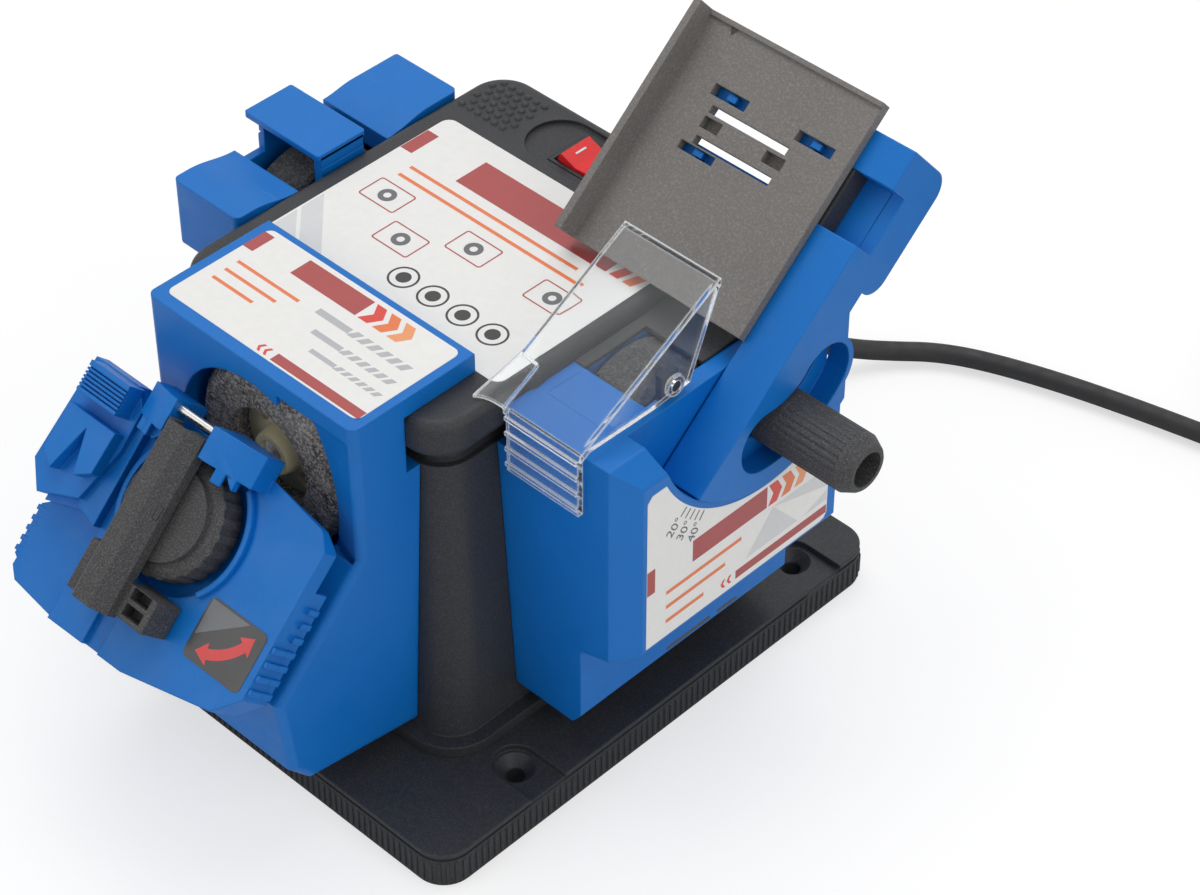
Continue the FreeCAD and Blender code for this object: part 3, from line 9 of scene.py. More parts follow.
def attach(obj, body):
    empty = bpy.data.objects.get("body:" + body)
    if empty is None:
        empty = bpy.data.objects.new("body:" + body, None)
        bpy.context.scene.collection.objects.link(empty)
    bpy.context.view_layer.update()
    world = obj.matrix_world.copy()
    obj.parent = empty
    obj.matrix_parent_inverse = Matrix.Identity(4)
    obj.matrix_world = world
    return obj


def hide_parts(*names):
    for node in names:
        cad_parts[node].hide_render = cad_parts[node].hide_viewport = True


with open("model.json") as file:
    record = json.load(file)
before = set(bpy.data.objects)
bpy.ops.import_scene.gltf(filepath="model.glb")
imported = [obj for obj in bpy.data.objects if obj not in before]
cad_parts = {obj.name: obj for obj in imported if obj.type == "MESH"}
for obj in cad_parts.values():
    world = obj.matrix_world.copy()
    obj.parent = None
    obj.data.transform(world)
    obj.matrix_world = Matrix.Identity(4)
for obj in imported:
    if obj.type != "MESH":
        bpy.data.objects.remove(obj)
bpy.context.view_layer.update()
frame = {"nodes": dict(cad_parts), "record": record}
nodes = frame["nodes"]
MM = 0.001


def place_in_scene(name, data):
    obj = bpy.data.objects.new(name, data)
    bpy.context.scene.collection.objects.link(obj)
    return obj


def looking_along(direction):
    return direction.to_track_quat("-Z", "Y").to_euler()


# Camera at the photograph's viewing angle
CAMERA_PLACE = (0.5029, -0.4741, 0.6707)
CAMERA_BACK = (0.5173, -0.5322, 0.6702)
CAMERA_LENS = 101.88
SENSOR_WIDTH = 36
camera_data = bpy.data.cameras.new("camera")
camera_data.lens = CAMERA_LENS
camera_data.sensor_width = SENSOR_WIDTH
camera_data.sensor_fit = "HORIZONTAL"
camera = place_in_scene("camera", camera_data)
camera.location = CAMERA_PLACE
camera.rotation_euler = looking_along(-Vector(CAMERA_BACK))
bpy.context.scene.camera = camera

# Mains lead: out of its sleeve, down to the bench, then into its tied coil
CORD_RADIUS = 3.0
LIE = 4.2
COIL_START = (154, 192.6, LIE)
LEAD = [
    (0, 86, 24), (0, 100, 24), (2.5, 114.5, 19.5), (8, 127.5, 12), (15, 138.5, 6.8), (22.3, 148, 4.6),
    (31, 156.6, LIE), (43.5, 163.6, LIE), (65, 171.4, LIE), (88.5, 177.8, LIE), (111, 183, LIE),
    (133, 187.8, LIE), COIL_START,
]
COIL_TURNS = 3
COIL_PITCH = 6.9
COIL_OUTER = 40.0
LAYER_RISE = 6.7
COIL_STUB = 24.0
POINTS_PER_TURN = 16


def coil_points():
    """Control points of the two-layer coil, spiralling in below and out above, and of its tail."""
    heading = Vector(LEAD[-1]) - Vector(LEAD[-2])
    start = math.atan2(-heading.x, heading.y)
    centre = Vector(COIL_START) - Vector((math.cos(start), math.sin(start), 0)) * COIL_OUTER
    in_end = 2 * math.pi * COIL_TURNS
    climb_end = in_end + math.pi
    coil_end = climb_end + 2 * math.pi * COIL_TURNS + math.pi
    turn_back = (in_end + climb_end) / 2
    rate = COIL_PITCH / (2 * math.pi)
    step = 2 * math.pi / POINTS_PER_TURN
    swell = 1 / math.cos(step / 2)

    def point(turn):
        radius = COIL_OUTER - rate * turn_back + rate * abs(turn - turn_back)
        share = min(max((turn - in_end) / math.pi, 0.0), 1.0)
        lift = LAYER_RISE * (share - math.sin(2 * math.pi * share) / (2 * math.pi))
        a = start + turn
        return centre + Vector((radius * math.cos(a) * swell, radius * math.sin(a) * swell, lift))

    count = round(coil_end / step)
    points = [point(step * i) for i in range(1, count + 1)]
    last = point(coil_end)
    along = (last - point(coil_end - 0.01)).normalized()
    return points + [last + along * COIL_STUB * 0.5, last + along * COIL_STUB]


def cord_curve(name, points, radius):
    """A round flexible cord on one smooth spline."""
    curve = bpy.data.curves.new(name, "CURVE")
    curve.dimensions = "3D"
    curve.bevel_depth = 1.0
    curve.bevel_resolution = 6
    curve.resolution_u = 6
    curve.use_fill_caps = True
    spline = curve.splines.new("NURBS")
    spline.points.add(len(points) - 1)
    for knot, place in zip(spline.points, points):
        knot.co = (place[0] * MM, place[1] * MM, place[2] * MM, 1)
        knot.radius = radius * MM
    spline.order_u = 3
    spline.use_endpoint_u = True
    return place_in_scene(name, curve)


cord = cord_curve("mains_cord", [Vector(p) for p in LEAD] + coil_points(), CORD_RADIUS)
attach(cord, "frame")
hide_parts("mains_lead", "lead_coil")


# Materials
class Shader:
    """A material under construction, with short ways to add and join its nodes."""

    def __init__(self, name):
        self.material = bpy.data.materials.new(name)
        self.material.use_nodes = True
        self.tree = self.material.node_tree
        self.surface = self.tree.nodes["Principled BSDF"]
        self.place = self.add("ShaderNodeTexCoord").outputs["Object"]

    def add(self, kind, settings=None, **inputs):
        node = self.tree.nodes.new(kind)
        for key, value in (settings or {}).items():
            setattr(node, key, value)
        for key, value in inputs.items():
            self.give(node.inputs[key.replace("_", " ")], value)
        return node

    def give(self, socket, value):
        if isinstance(value, bpy.types.NodeSocket):
            self.tree.links.new(value, socket)
        else:
            socket.default_value = value

    def set(self, **inputs):
        for key, value in inputs.items():
            self.give(self.surface.inputs[key.replace("_", " ")], value)

    def noise(self, scale, detail):
        return self.add("ShaderNodeTexNoise", Vector=self.place, Scale=scale, Detail=detail).outputs["Fac"]

    def spread(self, value, low, high, start=0.3, end=0.7):
        node = self.add("ShaderNodeMapRange", Value=value)
        for key, number in zip(("From Min", "From Max", "To Min", "To Max"), (start, end, low, high)):
            node.inputs[key].default_value = number
        return node.outputs["Result"]

    def between(self, share, first, second):
        node = self.add("ShaderNodeMix", {"data_type": "RGBA"})
        self.give(node.inputs["Factor"], share)
        self.give(node.inputs["A"], first)
        self.give(node.inputs["B"], second)
        return next(out for out in node.outputs if out.type == "RGBA")

    def product(self, first, second):
        node = self.add("ShaderNodeMath", {"operation": "MULTIPLY"})
        self.give(node.inputs[0], first)
        self.give(node.inputs[1], second)
        return node.outputs[0]

    def soft_edge(self, radius):
        """The surface direction with its corners rounded, and a mask of those corners."""
        eased = self.add("ShaderNodeBevel", {"samples": 6}, Radius=radius * MM).outputs["Normal"]
        flat = self.add("ShaderNodeNewGeometry").outputs["Normal"]
        match = self.add("ShaderNodeVectorMath", {"operation": "DOT_PRODUCT"})
        self.give(match.inputs[0], eased)
        self.give(match.inputs[1], flat)
        return eased, self.spread(match.outputs["Value"], 1.0, 0.0, 0.72, 0.99)

    def grain(self, height, depth, normal=None):
        node = self.add("ShaderNodeBump", Height=height, Strength=1.0, Distance=depth * MM)
        if normal is not None:
            self.give(node.inputs["Normal"], normal)
        return node.outputs["Normal"]


def tone(colour, share):
    return tuple(min(c * share, 1.0) for c in colour[:3]) + (1.0,)


CLOUD_SCALE = 35
RUB_AND_HIGHLIGHT_SCALE = 220
SMEAR_SCALE = 140


def moulded(
    name, colour, rough, grain_size=0.45, depth=0.02, edge=0.7, wear_and_highlight=1.6, mottle=0.10, speckle=0.1,
):
    """Moulded plastic: fine spark grain with paler specks, a little cloudiness, and corners lightened
    partly as rubbing wear and partly as a painted highlight.
    """
    shader = Shader(name)
    normal, corner = shader.soft_edge(edge)
    cloud = shader.noise(CLOUD_SCALE, 3)
    fine = shader.noise(1 / (grain_size * MM), 2)
    cloudy = shader.between(cloud, tone(colour, 1 - mottle), tone(colour, 1 + mottle))
    body = shader.between(shader.spread(fine, 0.0, 1.0, 0.45, 0.75), cloudy, tone(colour, 1 + speckle))
    # Paler corners: part rubbing wear, part painted highlight along the edges.
    rubbed_and_highlit = shader.product(corner, shader.spread(shader.noise(RUB_AND_HIGHLIGHT_SCALE, 4), 0.15, 0.75))
    shader.set(
        Base_Color=shader.between(rubbed_and_highlit, body, tone(colour, wear_and_highlight)),
        Roughness=shader.spread(shader.noise(SMEAR_SCALE, 4), rough - 0.06, rough + 0.07),
        Specular_IOR_Level=0.3,
        Normal=shader.grain(fine, depth, normal),
    )
    return shader.material


GRIT_SIZE = 0.55
GRIT_DEPTH = 0.25
DUST_SCALE = 160


def bonded_grit(name, dark, pale):
    """Grinding wheel: close-packed grains of two tones with a rough face."""
    shader = Shader(name)
    cells = shader.add("ShaderNodeTexVoronoi", Vector=shader.place, Scale=1 / (GRIT_SIZE * MM))
    speck = shader.add("ShaderNodeSeparateColor", Color=cells.outputs["Color"]).outputs["Red"]
    dust = shader.noise(DUST_SCALE, 4)
    grains = shader.between(shader.spread(speck, 0.0, 1.0, 0.35, 0.95), dark, pale)
    shader.set(
        Base_Color=shader.between(shader.spread(dust, 0.0, 0.35), grains, tone(pale, 1.3)),
        Roughness=shader.spread(speck, 0.75, 0.95),
        Normal=shader.grain(cells.outputs["Distance"], GRIT_DEPTH),
    )
    return shader.material


def metal(name, colour, rough, lines=900):
    """Bare metal with fine turning or drawing lines."""
    shader = Shader(name)
    streak = shader.noise(lines, 3)
    shader.set(
        Base_Color=shader.between(shader.noise(90, 3), tone(colour, 0.88), tone(colour, 1.06)),
        Metallic=1.0,
        Roughness=shader.spread(streak, rough - 0.08, rough + 0.1),
        Normal=shader.grain(streak, 0.01),
    )
    return shader.material


SHEET_EDGE = 1.3
SHEET_IOR = 1.3


def clear_sheet(name):
    """Clear moulded acrylic with faint smears, and edges made whiter and less clear, partly as frosting
    and partly as a painted highlight.
    """
    shader = Shader(name)
    _, corner = shader.soft_edge(SHEET_EDGE)
    haze = shader.noise(30, 3)
    shader.set(
        Base_Color=shader.between(haze, (0.955, 0.975, 0.985, 1), (0.985, 0.995, 1.0, 1)),
        Roughness=shader.spread(shader.noise(120, 5), 0.015, 0.07),
        # Edges turned white: part frosting, part painted highlight.
        Transmission_Weight=shader.spread(corner, 0.98, 0.2, 0.3, 0.9),
        IOR=SHEET_IOR,
        Normal=shader.grain(shader.noise(60, 2), 0.015),
    )
    return shader.material


INK_ROUGH = 0.34


def printed(name, colour):
    """Ink or paper of a laminated label."""
    shader = Shader(name)
    shader.set(
        Base_Color=shader.between(shader.noise(420, 4), tone(colour, 0.95), tone(colour, 1.04)),
        Roughness=shader.spread(shader.noise(90, 3), INK_ROUGH - 0.05, INK_ROUGH + 0.06),
        Coat_Weight=0.25,
        Coat_Roughness=0.2,
        Normal=shader.grain(shader.noise(800, 2), 0.006),
    )
    return shader.material


def rubbery(name, colour, rough):
    """Soft matt sheath of the lead."""
    shader = Shader(name)
    shader.set(
        Base_Color=shader.between(shader.noise(60, 4), tone(colour, 0.85), tone(colour, 1.25)),
        Roughness=shader.spread(shader.noise(300, 4), rough - 0.08, rough + 0.08),
        Normal=shader.grain(shader.noise(1500, 3), 0.02),
    )
    return shader.material


BLUE = (0.0020, 0.158, 0.545, 1)
BLACK = (0.0305, 0.0315, 0.0350, 1)
KNOB_BLACK = (0.046, 0.046, 0.048, 1)
GREY = (0.180, 0.170, 0.162, 1)
RED = (0.86, 0.022, 0.024, 1)
CREAM = (0.66, 0.60, 0.38, 1)
GRIT_TONES = ((0.022, 0.021, 0.020, 1), (0.40, 0.38, 0.35, 1))
# Near-black grit tones: painted shade for wheels that sit deep in their holes
SHADED_DARK_GRIT_TONES = ((0.012, 0.012, 0.013, 1), (0.11, 0.11, 0.112, 1))
STEEL = (0.62, 0.62, 0.61, 1)
ZINC = (0.56, 0.57, 0.60, 1)
BRONZE = (0.55, 0.36, 0.16, 1)
BRASS = (0.72, 0.66, 0.50, 1)
SHEATH = (0.017, 0.017, 0.018, 1)

blue_plastic = moulded("blue_plastic", BLUE, 0.40, depth=0.018, wear_and_highlight=1.55)
black_plastic = moulded("black_plastic", BLACK, 0.50, grain_size=0.5, depth=0.03, wear_and_highlight=2.2, speckle=0.8)
knob_plastic = moulded(
    "knob_plastic", KNOB_BLACK, 0.55, grain_size=0.4, depth=0.05, edge=0.35, wear_and_highlight=2.4, speckle=1.8,
)
grey_plastic = moulded(
    "grey_plastic", GREY, 0.62, grain_size=0.6, depth=0.08, edge=0.5, wear_and_highlight=1.4, mottle=0.18, speckle=0.4,
)
red_plastic = moulded("red_plastic", RED, 0.28, depth=0.006, edge=0.5, wear_and_highlight=1.3)
cream_plastic = moulded("cream_plastic", CREAM, 0.45, depth=0.02, wear_and_highlight=1.15)
grit = bonded_grit("grit", *GRIT_TONES)
shaded_dark_grit = bonded_grit("shaded_dark_grit", *SHADED_DARK_GRIT_TONES)
steel = metal("steel", STEEL, 0.30)
zinc = metal("zinc", ZINC, 0.42, 300)
bronze = metal("bronze", BRONZE, 0.45, 500)
pin_brass = metal("pin_brass", BRASS, 0.25)
clear_plastic = clear_sheet("clear_plastic")
cord_rubber = rubbery("cord_rubber", SHEATH, 0.62)
INKS = {
    "paper": (0.86, 0.855, 0.835, 1),
    "maroon": (0.40, 0.052, 0.050, 1),
    "red": (0.72, 0.045, 0.030, 1),
    "orange": (0.82, 0.19, 0.050, 1),
    "amber": (0.86, 0.33, 0.13, 1),
    "silver": (0.47, 0.48, 0.50, 1),
    "mist": (0.68, 0.69, 0.70, 1),
    "slate": (0.12, 0.125, 0.135, 1),
    "ink": (0.016, 0.016, 0.018, 1),
    "arrow": (0.66, 0.020, 0.022, 1),
}
inks = {name: printed("label_" + name, colour) for name, colour in INKS.items()}

SLOT_FINISH = {
    "black_plastic": black_plastic,
    "blue_plastic": blue_plastic,
    "grey_plastic": grey_plastic,
    "clear_plastic": clear_plastic,
    "red_plastic": red_plastic,
    "cream_plastic": cream_plastic,
    "grit": grit,
    "steel": steel,
    "zinc": zinc,
    "bronze": bronze,
    "cord_rubber": cord_rubber,
    "pin_brass": pin_brass,
}
NODE_FINISH = {
    "clamp_knob": knob_plastic,
    "holder_knob": knob_plastic,
    "drill_holder": knob_plastic,
    "guard_hinge_post": black_plastic,
    # Painted shade: the knife wheel goes near-black to stand for the dark hole it sits in
    "knife_wheel": shaded_dark_grit,
}


def finish_with(obj, material):
    obj.data.materials.clear()
    obj.data.materials.append(material)


for row in frame["record"]["subparts"]:
    node_name = row["node"]
    finish_with(nodes[node_name], NODE_FINISH.get(node_name, SLOT_FINISH[row["material_slot"]]))
finish_with(cord, cord_rubber)


# Flat places of the machine, on which small pieces are drawn
class Plane:
    """A flat place with two directions along it and one out of it."""

    def __init__(self, origin, across, up):
        self.origin = Vector(origin) * MM
        self.across = Vector(across).normalized()
        self.up = Vector(up).normalized()
        self.out = self.across.cross(self.up)

    def at(self, x, y, rise):
        return self.origin + (self.across * x + self.up * y + self.out * rise) * MM

    def matrix(self, x, y, rise, turn):
        turned = Matrix((self.across, self.up, self.out)).transposed().to_4x4()
        return Matrix.Translation(self.at(x, y, rise)) @ turned @ Matrix.Rotation(turn, 4, "Z")


RIGHT = (1, 0, 0)
REAR = (0, 1, 0)
UP = (0, 0, 1)
CRADLE_FOOT = (0, -88.4, 100)
TABLE_PIVOT = (0, 11.4, 126)
SLOPE = math.radians(45)
LEAN = math.radians(40.7)
ROCKER_LEAN = math.radians(9)
BENCH = Plane((0, 0, 0), RIGHT, REAR)
FLANK = Plane((0, 0, 0), REAR, UP)
HOOD = Plane((0, 0, 128), RIGHT, REAR)
COVER = Plane((0, 0, 122), RIGHT, REAR)
LEDGE = Plane((0, 0, 118), RIGHT, REAR)
CHISEL = Plane((90.4, 0, 0), REAR, UP)
WELL = Plane((0, -4, 94), REAR, UP)
CRADLE = Plane(CRADLE_FOOT, RIGHT, (0, math.cos(SLOPE), math.sin(SLOPE)))
CRADLE_END = Plane(CRADLE_FOOT, RIGHT, (0, -math.sin(SLOPE), math.cos(SLOPE)))
TABLE = Plane(TABLE_PIVOT, RIGHT, (0, math.cos(LEAN), math.sin(LEAN)))
ARM_SIDE = Plane(TABLE_PIVOT, (0, math.cos(LEAN), math.sin(LEAN)), (0, -math.sin(LEAN), math.cos(LEAN)))
ARM_SLOT = Plane((0, 30.17, 110.25), REAR, UP)
ROCKER = Plane((-3, 42, 119.5), (math.cos(ROCKER_LEAN), 0, -math.sin(ROCKER_LEAN)), REAR)


# Outlines
def rectangle(x0, y0, x1, y1):
    return [(x0, y0), (x1, y0), (x1, y1), (x0, y1)]


def turns_between(first, last, steps):
    """Evenly spaced angles between two angles in degrees."""
    return [math.radians(first + (last - first) * i / steps) for i in range(steps + 1)]


def bow(x, y, radius, turns):
    """Points of a circle at the given angles."""
    return [(x + radius * math.cos(a), y + radius * math.sin(a)) for a in turns]


def band(x, y, outer, inner, turns):
    """A bent strip between two radii."""
    return bow(x, y, outer, turns) + bow(x, y, inner, turns)[::-1]


def circle(x, y, radius, steps=36):
    return bow(x, y, radius, turns_between(0, 360, steps)[:-1])


def rounded(x0, y0, x1, y1, radius):
    """A rectangle with round corners."""
    corners = (
        (x1 - radius, y1 - radius, 0),
        (x0 + radius, y1 - radius, 90),
        (x0 + radius, y0 + radius, 180),
        (x1 - radius, y0 + radius, 270),
    )
    points = []
    for x, y, start in corners:
        points += bow(x, y, radius, turns_between(start, start + 90, 6))
    return points


def chevron(x, y, wide, high, point):
    """An arrow-shaped block that points along the first direction."""
    return [
        (x, y), (x + wide, y), (x + wide + point, y + high / 2), (x + wide, y + high),
        (x, y + high), (x + point, y + high / 2),
    ]


# Meshes and pieces
def mesh_from(name, build):
    """A mesh filled in by a drawing function."""
    mesh = bpy.data.meshes.new(name)
    work = bmesh.new()
    build(work)
    bmesh.ops.recalc_face_normals(work, faces=work.faces)
    work.to_mesh(mesh)
    work.free()
    return mesh


def add_loop(work, plane, corners, rise):
    return [work.verts.new(plane.at(x, y, rise)) for x, y in corners]


def join_loops(work, first, second):
    """Faces between two closed loops of as many points."""
    count = len(first)
    for i in range(count):
        j = (i + 1) % count
        work.faces.new((first[i], first[j], second[j], second[i]))


def add_slab(work, plane, corners, low, high):
    """A closed thin slab over an outline."""
    bottom = add_loop(work, plane, corners, low)
    top = add_loop(work, plane, corners, high)
    work.faces.new(top)
    work.faces.new(bottom[::-1])
    join_loops(work, bottom, top)


def add_ring(work, plane, outer, inner, low, high):
    """A closed flat ring between two outlines of as many corners."""
    sides = ((outer, low), (outer, high), (inner, high), (inner, low))
    loops = [add_loop(work, plane, corners, rise) for corners, rise in sides]
    for k, loop in enumerate(loops):
        join_loops(work, loop, loops[(k + 1) % len(loops)])


def new_piece(name, mesh, material, body):
    """A visible piece that rides on a body and belongs to a material slot."""
    piece = place_in_scene(name, mesh)
    mesh.materials.append(material)
    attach(piece, body)
    return piece


def drawn_piece(name, draw, material, body):
    return new_piece(name, mesh_from(name, draw), material, body)


def slab_piece(name, plane, outlines, depth, material, body):
    """A piece of one or more slabs that share their depth."""

    def draw(work):
        for corners in outlines:
            add_slab(work, plane, corners, *depth)

    return drawn_piece(name, draw, material, body)


def solid_of(name, build):
    """A helper solid that shapes another piece and is then removed."""
    return place_in_scene(name, mesh_from(name, build))


def slab_solid(name, plane, corners, low, high):
    return solid_of(name, lambda work: add_slab(work, plane, corners, low, high))


SHARP_ANGLE = math.radians(28)


def shaped(name, source, steps):
    """A new mesh made from a node by adding and cutting helper solids."""
    work = place_in_scene(name, source.data.copy())
    for operation, helper in steps:
        change = work.modifiers.new(helper.name, "BOOLEAN")
        change.operation = operation
        change.object = helper
        change.solver = "EXACT"
    bpy.context.view_layer.update()
    shape = work.evaluated_get(bpy.context.evaluated_depsgraph_get())
    mesh = bpy.data.meshes.new_from_object(shape)
    for obj in [work] + [helper for _, helper in steps]:
        bpy.data.objects.remove(obj)
    mesh.materials.clear()
    if "custom_normal" in mesh.attributes:
        mesh.attributes.remove(mesh.attributes["custom_normal"])
    mesh.shade_smooth()
    mesh.set_sharp_from_angle(angle=SHARP_ANGLE)
    return mesh


# Labels
PAPER_RISE = 0.14
INK_RISE = 0.19
SINK = 0.02
TINT_RISE = PAPER_RISE + SINK
TICK_PITCH = 2.3
TICK_SIZE = (0.9, 2.8, -0.9)


class Label:
    """A laminated sheet on a body, and the flat shapes printed on it."""

    def __init__(self, name, plane, corners, slot, body="frame", paper="paper"):
        self.name = name
        self.plane = plane
        self.slot = slot
        self.body = body
        slab_piece(name, plane, [corners], (-SINK, PAPER_RISE), inks[paper], body)

    def print_shapes(self, name, outlines, ink, rise=INK_RISE):
        depth = (PAPER_RISE - SINK, rise)
        slab_piece(name, self.plane, outlines, depth, inks[ink], self.body)

    def print_rings(self, name, rings, ink):
        def draw(work):
            for outer, inner in rings:
                add_ring(work, self.plane, outer, inner, PAPER_RISE - SINK, INK_RISE)

        drawn_piece(name, draw, inks[ink], self.body)

    def print_marks(self, colours, x, y, pitch, size):
        """A row of chevrons, one of each ink."""
        for i, ink in enumerate(colours):
            self.print_shapes(f"{self.name}_mark_{i}", [chevron(x + pitch * i, y, *size)], ink)

    def print_ticks(self, x, y):
        """Two small red chevrons that point the other way."""
        ticks = [chevron(x + TICK_PITCH * i, y, *TICK_SIZE) for i in range(2)]
        self.print_shapes(f"{self.name}_ticks", ticks, "red")


# Label on the drill hood
DRILLS = ((-2, -57, 33, 2.6), (3, -63, 29, 2.2), (8, -68.2, 25, 1.8))
DRILL_LANDS = 6
SHANK_SHARE = 0.36


def drill_shapes(x, y, length, thick):
    """A twist drill seen from the side, as a shank and slanted lands."""
    shank = SHANK_SHARE * length
    pitch = (length - shank) / DRILL_LANDS
    shapes = [rectangle(x, y + 0.1 * thick, x + shank, y + 0.9 * thick)]
    for i in range(DRILL_LANDS):
        left = x + shank + pitch * i
        shapes.append([
            (left, y), (left + 0.62 * pitch, y), (left + 1.1 * pitch, y + thick),
            (left + 0.48 * pitch, y + thick),
        ])
    return shapes


hood = Label("hood_label", HOOD, rounded(-35, -77.2, 35.4, -42, 2.2), "blue_plastic")
hood.print_shapes("hood_label_bands", [
    rectangle(-18, -50.6, 6, -43.6),
    rectangle(-35, -51.5, -31.4, -43.8),
    rectangle(3.5, -76.6, 35.2, -73.6),
], "maroon")
hood.print_marks(("red", "orange", "amber"), 7, -50.6, 5.2, (3.4, 7, 2.2))
hood.print_ticks(-1.6, -76.4)
hood.print_shapes("hood_label_drills", [
    shape for drill in DRILLS for shape in drill_shapes(*drill)
], "silver")
hood.print_shapes("hood_label_rules", [
    rectangle(-31, -57.2, -8, -56.2),
    rectangle(-31, -61.4, -12, -60.4),
    rectangle(-31, -65.6, -16, -64.6),
], "orange")

# Label on the cover
FRAMES = ((-29.5, -6.5), (-13.5, -16.8), (3.0, -6.5), (31.5, -6.5))
ROUNDS = [(-1.6 + 10.8 * i, -27) for i in range(4)]


def frame_round(x, y, half_wide, half_high, radius):
    return rounded(x - half_wide, y - half_high, x + half_wide, y + half_high, radius)


cover = Label("cover_label", COVER, rounded(-42.6, -39.6, 45.4, 28.6, 3), "black_plastic")
cover.print_shapes("cover_label_bands", [
    rectangle(-21, 10.2, 34, 21.5),
    rectangle(-42.4, 10.4, -38.2, 20.6),
], "maroon")
cover.print_marks(("red", "orange"), 35.2, 10.2, 4.6, (3, 11.3, 1.8))
cover.print_shapes("cover_label_rules", [
    rectangle(-34, 5.6, 28, 6.7),
    rectangle(-34, 1.4, 34, 2.5),
], "orange")
cover.print_rings("cover_label_frames", [
    (frame_round(x, y, 6.6, 4.6, 0.9), frame_round(x, y, 6.2, 4.2, 0.6)) for x, y in FRAMES
], "maroon")
cover.print_rings("cover_label_wheels", [
    (circle(x, y, 2.6), circle(x, y, 1.1)) for x, y in FRAMES
], "slate")
cover.print_rings("cover_label_rounds", [
    (circle(x, y, 4.3), circle(x, y, 3.7)) for x, y in ROUNDS
], "ink")
cover.print_shapes("cover_label_dots", [circle(x, y, 2.1) for x, y in ROUNDS], "ink")
cover.print_shapes("cover_label_facets", [
    [(-42, -38.8), (-30, -38.8), (-42, -27)],
    [(-28.5, -38.8), (-20, -38.8), (-42, -17.5), (-42, -25.5)],
], "mist", TINT_RISE)

# Label on the chisel unit, cut round the tilting arm, with its angle scale
ARC_CENTRE = TABLE_PIVOT[1:]
ARC_RADIUS = 41.7
ARC_STEPS = 40
LABEL_TOP = 108.4
LABEL_LOW = 56.4
LABEL_FRONT = -33.1
LABEL_REAR = 35.7
SCALE_FROM = 223.8
SCALE_STEP = 2.9
NUMBER_HIGH = 4.2
NUMBER_THICK = 0.03


def arc_at(angle, radius):
    return bow(*ARC_CENTRE, radius, [math.radians(angle)])[0]


def chisel_outline():
    start = 180 + math.degrees(math.asin((ARC_CENTRE[1] - LABEL_TOP) / ARC_RADIUS))
    end = 360 - math.degrees(math.acos((LABEL_REAR - ARC_CENTRE[0]) / ARC_RADIUS))
    arc = bow(*ARC_CENTRE, ARC_RADIUS, turns_between(start, end, ARC_STEPS))
    rear_corner = [(LABEL_REAR, 58.4), (34.6, 56.8), (33, LABEL_LOW)]
    front_corner = [(LABEL_FRONT, LABEL_LOW), (LABEL_FRONT, 106.6), (-31.4, LABEL_TOP)]
    return arc + rear_corner + front_corner


def scale_line(angle, inner, outer, wide):
    """A thin printed line along a radius of the scale."""
    a = math.radians(angle)
    side = (-math.sin(a) * wide / 2, math.cos(a) * wide / 2)
    near = arc_at(angle, inner)
    far = arc_at(angle, outer)
    return [
        (near[0] - side[0], near[1] - side[1]), (far[0] - side[0], far[1] - side[1]),
        (far[0] + side[0], far[1] + side[1]), (near[0] + side[0], near[1] + side[1]),
    ]


def scale_number(name, words, place, turn):
    text = bpy.data.curves.new(name, "FONT")
    text.body = words
    text.size = NUMBER_HIGH * MM
    text.extrude = NUMBER_THICK * MM
    text.align_x = "CENTER"
    text.align_y = "CENTER"
    text.materials.append(inks["slate"])
    obj = place_in_scene(name, text)
    obj.matrix_world = CHISEL.matrix(*place, INK_RISE - SINK, turn)
    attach(obj, "frame")


chisel = Label("chisel_label", CHISEL, chisel_outline(), "blue_plastic")
chisel.print_shapes("chisel_label_bands", [
    rectangle(-16.4, 76, 11.4, 83.2),
    rectangle(-33, 75, -30.2, 83.2),
    rectangle(0.2, 58.4, 35.4, 61.2),
], "maroon")
chisel.print_marks(("red", "orange", "amber"), 12, 76, 5, (3.3, 7.2, 1.8))
chisel.print_ticks(-4.6, 58.4)
chisel.print_shapes("chisel_label_facets", [
    [(14, 74.6), (35.4, 74.6), (35.4, 68)],
    [(4, 63), (14, 74.6), (24, 63)],
    [(26, 63), (35.4, 66.5), (35.4, 63)],
], "mist", TINT_RISE)
chisel.print_shapes("chisel_label_rules", [
    rectangle(-26, 71, 2, 72.2),
    rectangle(-26, 66, -4, 67.2),
    rectangle(-26, 61, -12, 62.2),
], "orange")
chisel.print_shapes("angle_scale", [
    scale_line(SCALE_FROM + SCALE_STEP * i, ARC_RADIUS + 0.5, ARC_RADIUS + 3.4, 0.4) for i in range(5)
], "slate")
for i, words in enumerate(("20°", "30°", "40°")):
    angle = SCALE_FROM + 2 * SCALE_STEP * i
    place = arc_at(angle, ARC_RADIUS + 6.6)
    scale_number(f"scale_number_{words[:2]}", words, place, math.radians(angle - 180))

# Sticker with a swing arrow on the cradle
ARROW_CENTRE = (16.1, -26.6)
ARROW_RADIUS = 17.9
ARROW_HALF = 1.4
ARROW_WING = 2.9
ARROW_LEAD = 0.22


def swing_arrow():
    """A curved band with a head at each end."""
    turns = turns_between(290, 326.5, 14)
    shaft = band(*ARROW_CENTRE, ARROW_RADIUS + ARROW_HALF, ARROW_RADIUS - ARROW_HALF, turns)

    def head(a, lead):
        inner = bow(*ARROW_CENTRE, ARROW_RADIUS - ARROW_WING, [a])
        tip = bow(*ARROW_CENTRE, ARROW_RADIUS, [a + lead])
        outer = bow(*ARROW_CENTRE, ARROW_RADIUS + ARROW_WING, [a])
        return inner + tip + outer

    return [shaft, head(turns[0], -ARROW_LEAD), head(turns[-1], ARROW_LEAD)]


